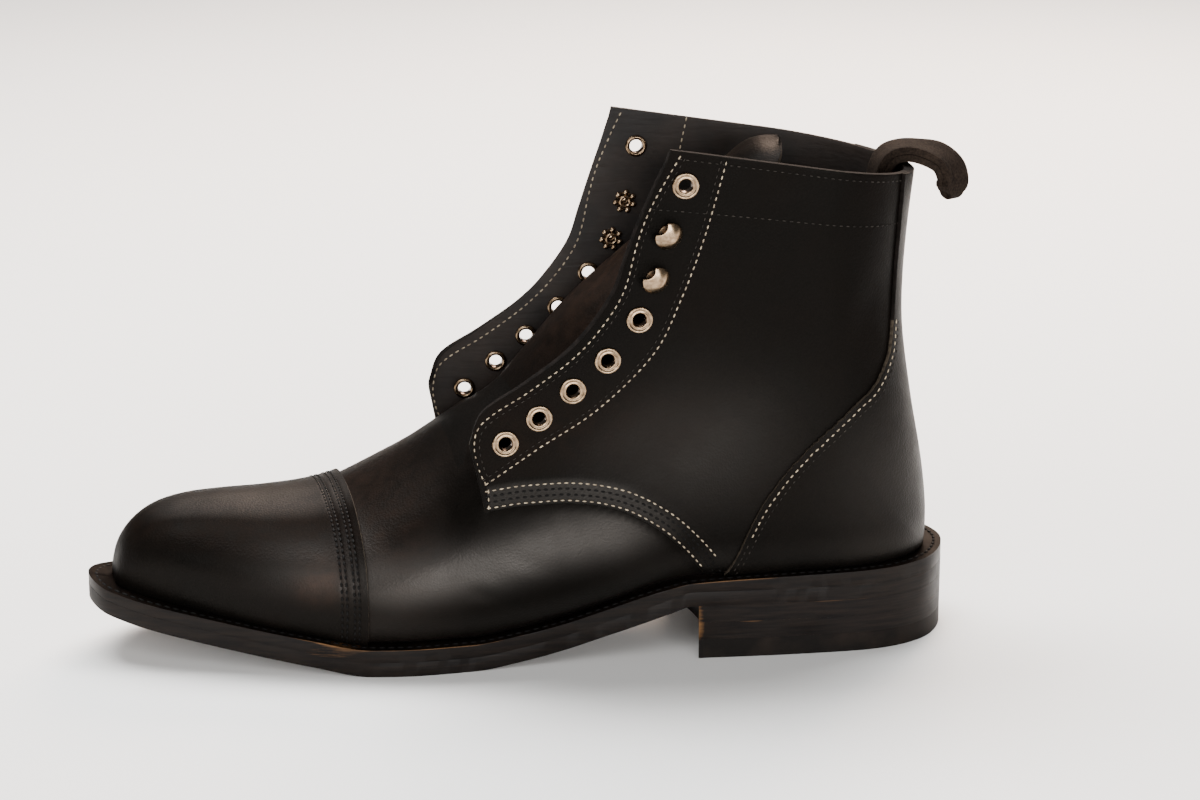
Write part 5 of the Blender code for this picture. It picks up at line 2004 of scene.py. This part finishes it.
def build_stitches():
    """Cream, black and grey rows on the upper, and the lockstitch round the welt."""
    facing = smooth_path(FACING_ROW, FACING_FINE)
    rear = smooth_path(FACING_REAR_ROW, REAR_FINE)
    cream = []
    black = []
    grey = []
    front_places = on_quarter(facing)
    rear_places = on_quarter(rear)
    inner_rear_places = on_quarter(rear + (INNER_REAR_SHIFT, 0.0))
    on_facing = (
        (cream, front_places),
        (cream, rear_places),
        (grey, on_quarter(moved_line(facing, TWIN_ROW))),
        (grey, on_quarter(moved_line(rear, -TWIN_ROW))),
        (grey, on_quarter(smooth_path(COLLAR_STITCHES, COLLAR_FINE))),
        (grey, on_quarter(smooth_path(SHAFT_STITCHES, COLLAR_FINE))),
    )
    band_top = BAND_TOP + STITCH_LIFT
    counter_top = BAND_LAYER + STITCH_LIFT
    on_band = [(cream, seam_places(d, ROW_FINE)[:BAND_CREAM_END]) for d in BAND_CREAM_ROWS]
    on_band += [(black, seam_places(d, ROW_FINE)) for d in BAND_BLACK_ROWS]
    on_band.append((cream, on_quarter(smooth_path(BAND_END_ROW, BAND_END_FINE))))
    beside_edge = counter_places(COUNTER_CREAM_ROW)
    heights = [point_at(quarter_line, *place, LATERAL)[2] for place in beside_edge]
    first = np.searchsorted(heights, CREAM_FROM)
    last = np.searchsorted(heights, CREAM_UP_TO)
    on_counter = ((grey, beside_edge[:first]), (cream, beside_edge[first:last]),
                  (grey, counter_places(COUNTER_GREY_ROW)[:last]))
    for side in SIDES:
        for rows, places in on_facing:
            rows.append(lifted_points(places, side, STITCH_LIFT))
        for rows, places in on_band:
            rows.append(lifted_points(places, side, band_top))
        for rows, places in on_counter:
            rows.append(lifted_points(places, side, counter_top))
        for places in (front_places, inner_rear_places):
            cream.append(lifted_points(places, side, STITCH_LIFT, inside=True))
        for distance in CAP_SEAM_ROWS:
            black.append(cap_row(distance, side))
    tree = thread_tree()
    threads = (
        ("cream_stitches", cream, PITCH, STITCH, CREAM_THREAD, "upper_leather"),
        ("black_stitches", black, PITCH, DARK_STITCH, BLACK_THREAD, "upper_leather"),
        ("grey_stitches", grey, PITCH, FINE_STITCH, GREY_THREAD, "upper_leather"),
        ("welt_stitches", [welt_row(side) for side in SIDES], WELT_PITCH, WELT_STITCH, BLACK_THREAD,
         "sole_leather"),
    )
    for name, lines, pitch, size, thread, slot in threads:
        sizes = {"Pitch": pitch * MM, "Stitch": tuple(s * MM for s in size), "Thread": thread}
        hand_over(grown(name, line_mesh(name, lines), tree, sizes), slot)


# Studio

FLOOR_HALF = 6.0
FLOOR_FINE = 8
SIGHT = 50.0
SKY = "#f4f2ef"
SKY_STRENGTH = 0.15
LIGHTS = (
    # name, place, aim, width, depth, watts, colour
    ("overhead_softbox", (-150, 560, 1500), (-110, 0, 60), 1800, 760, 84, "#ffffff"),
    ("front_softbox", (100, -1800, 330), (-110, 0, 60), 1500, 560, 36, "#ffffff"),
    ("side_softbox", (-860, -1030, 1080), (-160, 0, 40), 1000, 1000, 12, "#ffffff"),
    ("rear_softbox", (420, 1100, 800), (-110, 0, 60), 700, 500, 26, "#ffe0c8"),
)


def build_studio():
    """Camera at the photograph's angle, soft lights and a plain pale floor."""
    bm = bmesh.new()
    bmesh.ops.create_grid(bm, x_segments=FLOOR_FINE, y_segments=FLOOR_FINE, size=FLOOR_HALF)
    floor = new_piece("studio_floor", to_mesh("studio_floor", bm), pale_floor())
    floor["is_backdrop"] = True

    eye = Vector(CAMERA_AT)
    ahead = (Vector(CAMERA_TO) - eye).normalized()
    right = ahead.cross(Vector((0.0, 0.0, 1.0))).normalized()
    focal_pixels = LENS / SENSOR * PHOTO_WIDTH
    ahead = (ahead + right * (FRAME_SHIFT_PIXELS / focal_pixels)).normalized()
    lens = bpy.data.cameras.new("camera")
    lens.lens = LENS
    lens.sensor_width = SENSOR
    lens.clip_end = SIGHT
    camera = bpy.data.objects.new("camera", lens)
    camera.location = eye * MM
    camera.rotation_euler = ahead.to_track_quat("-Z", "Y").to_euler()
    bpy.context.scene.collection.objects.link(camera)
    bpy.context.scene.camera = camera

    for name, place, aim, width, depth, watts, colour in LIGHTS:
        lamp = bpy.data.lights.new(name, "AREA")
        lamp.shape = "RECTANGLE"
        lamp.size = width * MM
        lamp.size_y = depth * MM
        lamp.energy = watts
        lamp.color = linear(colour)[:3]
        holder = bpy.data.objects.new(name, lamp)
        holder.location = Vector(place) * MM
        holder.rotation_euler = (Vector(aim) - Vector(place)).to_track_quat("-Z", "Y").to_euler()
        bpy.context.scene.collection.objects.link(holder)

    world = bpy.data.worlds.new("studio_air")
    world.use_nodes = True
    sky = world.node_tree.nodes["Background"]
    sky.inputs["Color"].default_value = linear(SKY)
    sky.inputs["Strength"].default_value = SKY_STRENGTH
    bpy.context.scene.world = world


build_studio()
build_upper()
build_toe_cap()
build_counter()
build_seam_bands()
build_tab_edges()
build_tongue()
build_throat_fold()
build_pull_loop()
build_sole()
build_heel()
build_fittings()
build_stitches()

boxes = {"cad": CAD_BOX, "visual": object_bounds()}
{name: [[float(c) for c in corner] for corner in box] for name, box in boxes.items()}
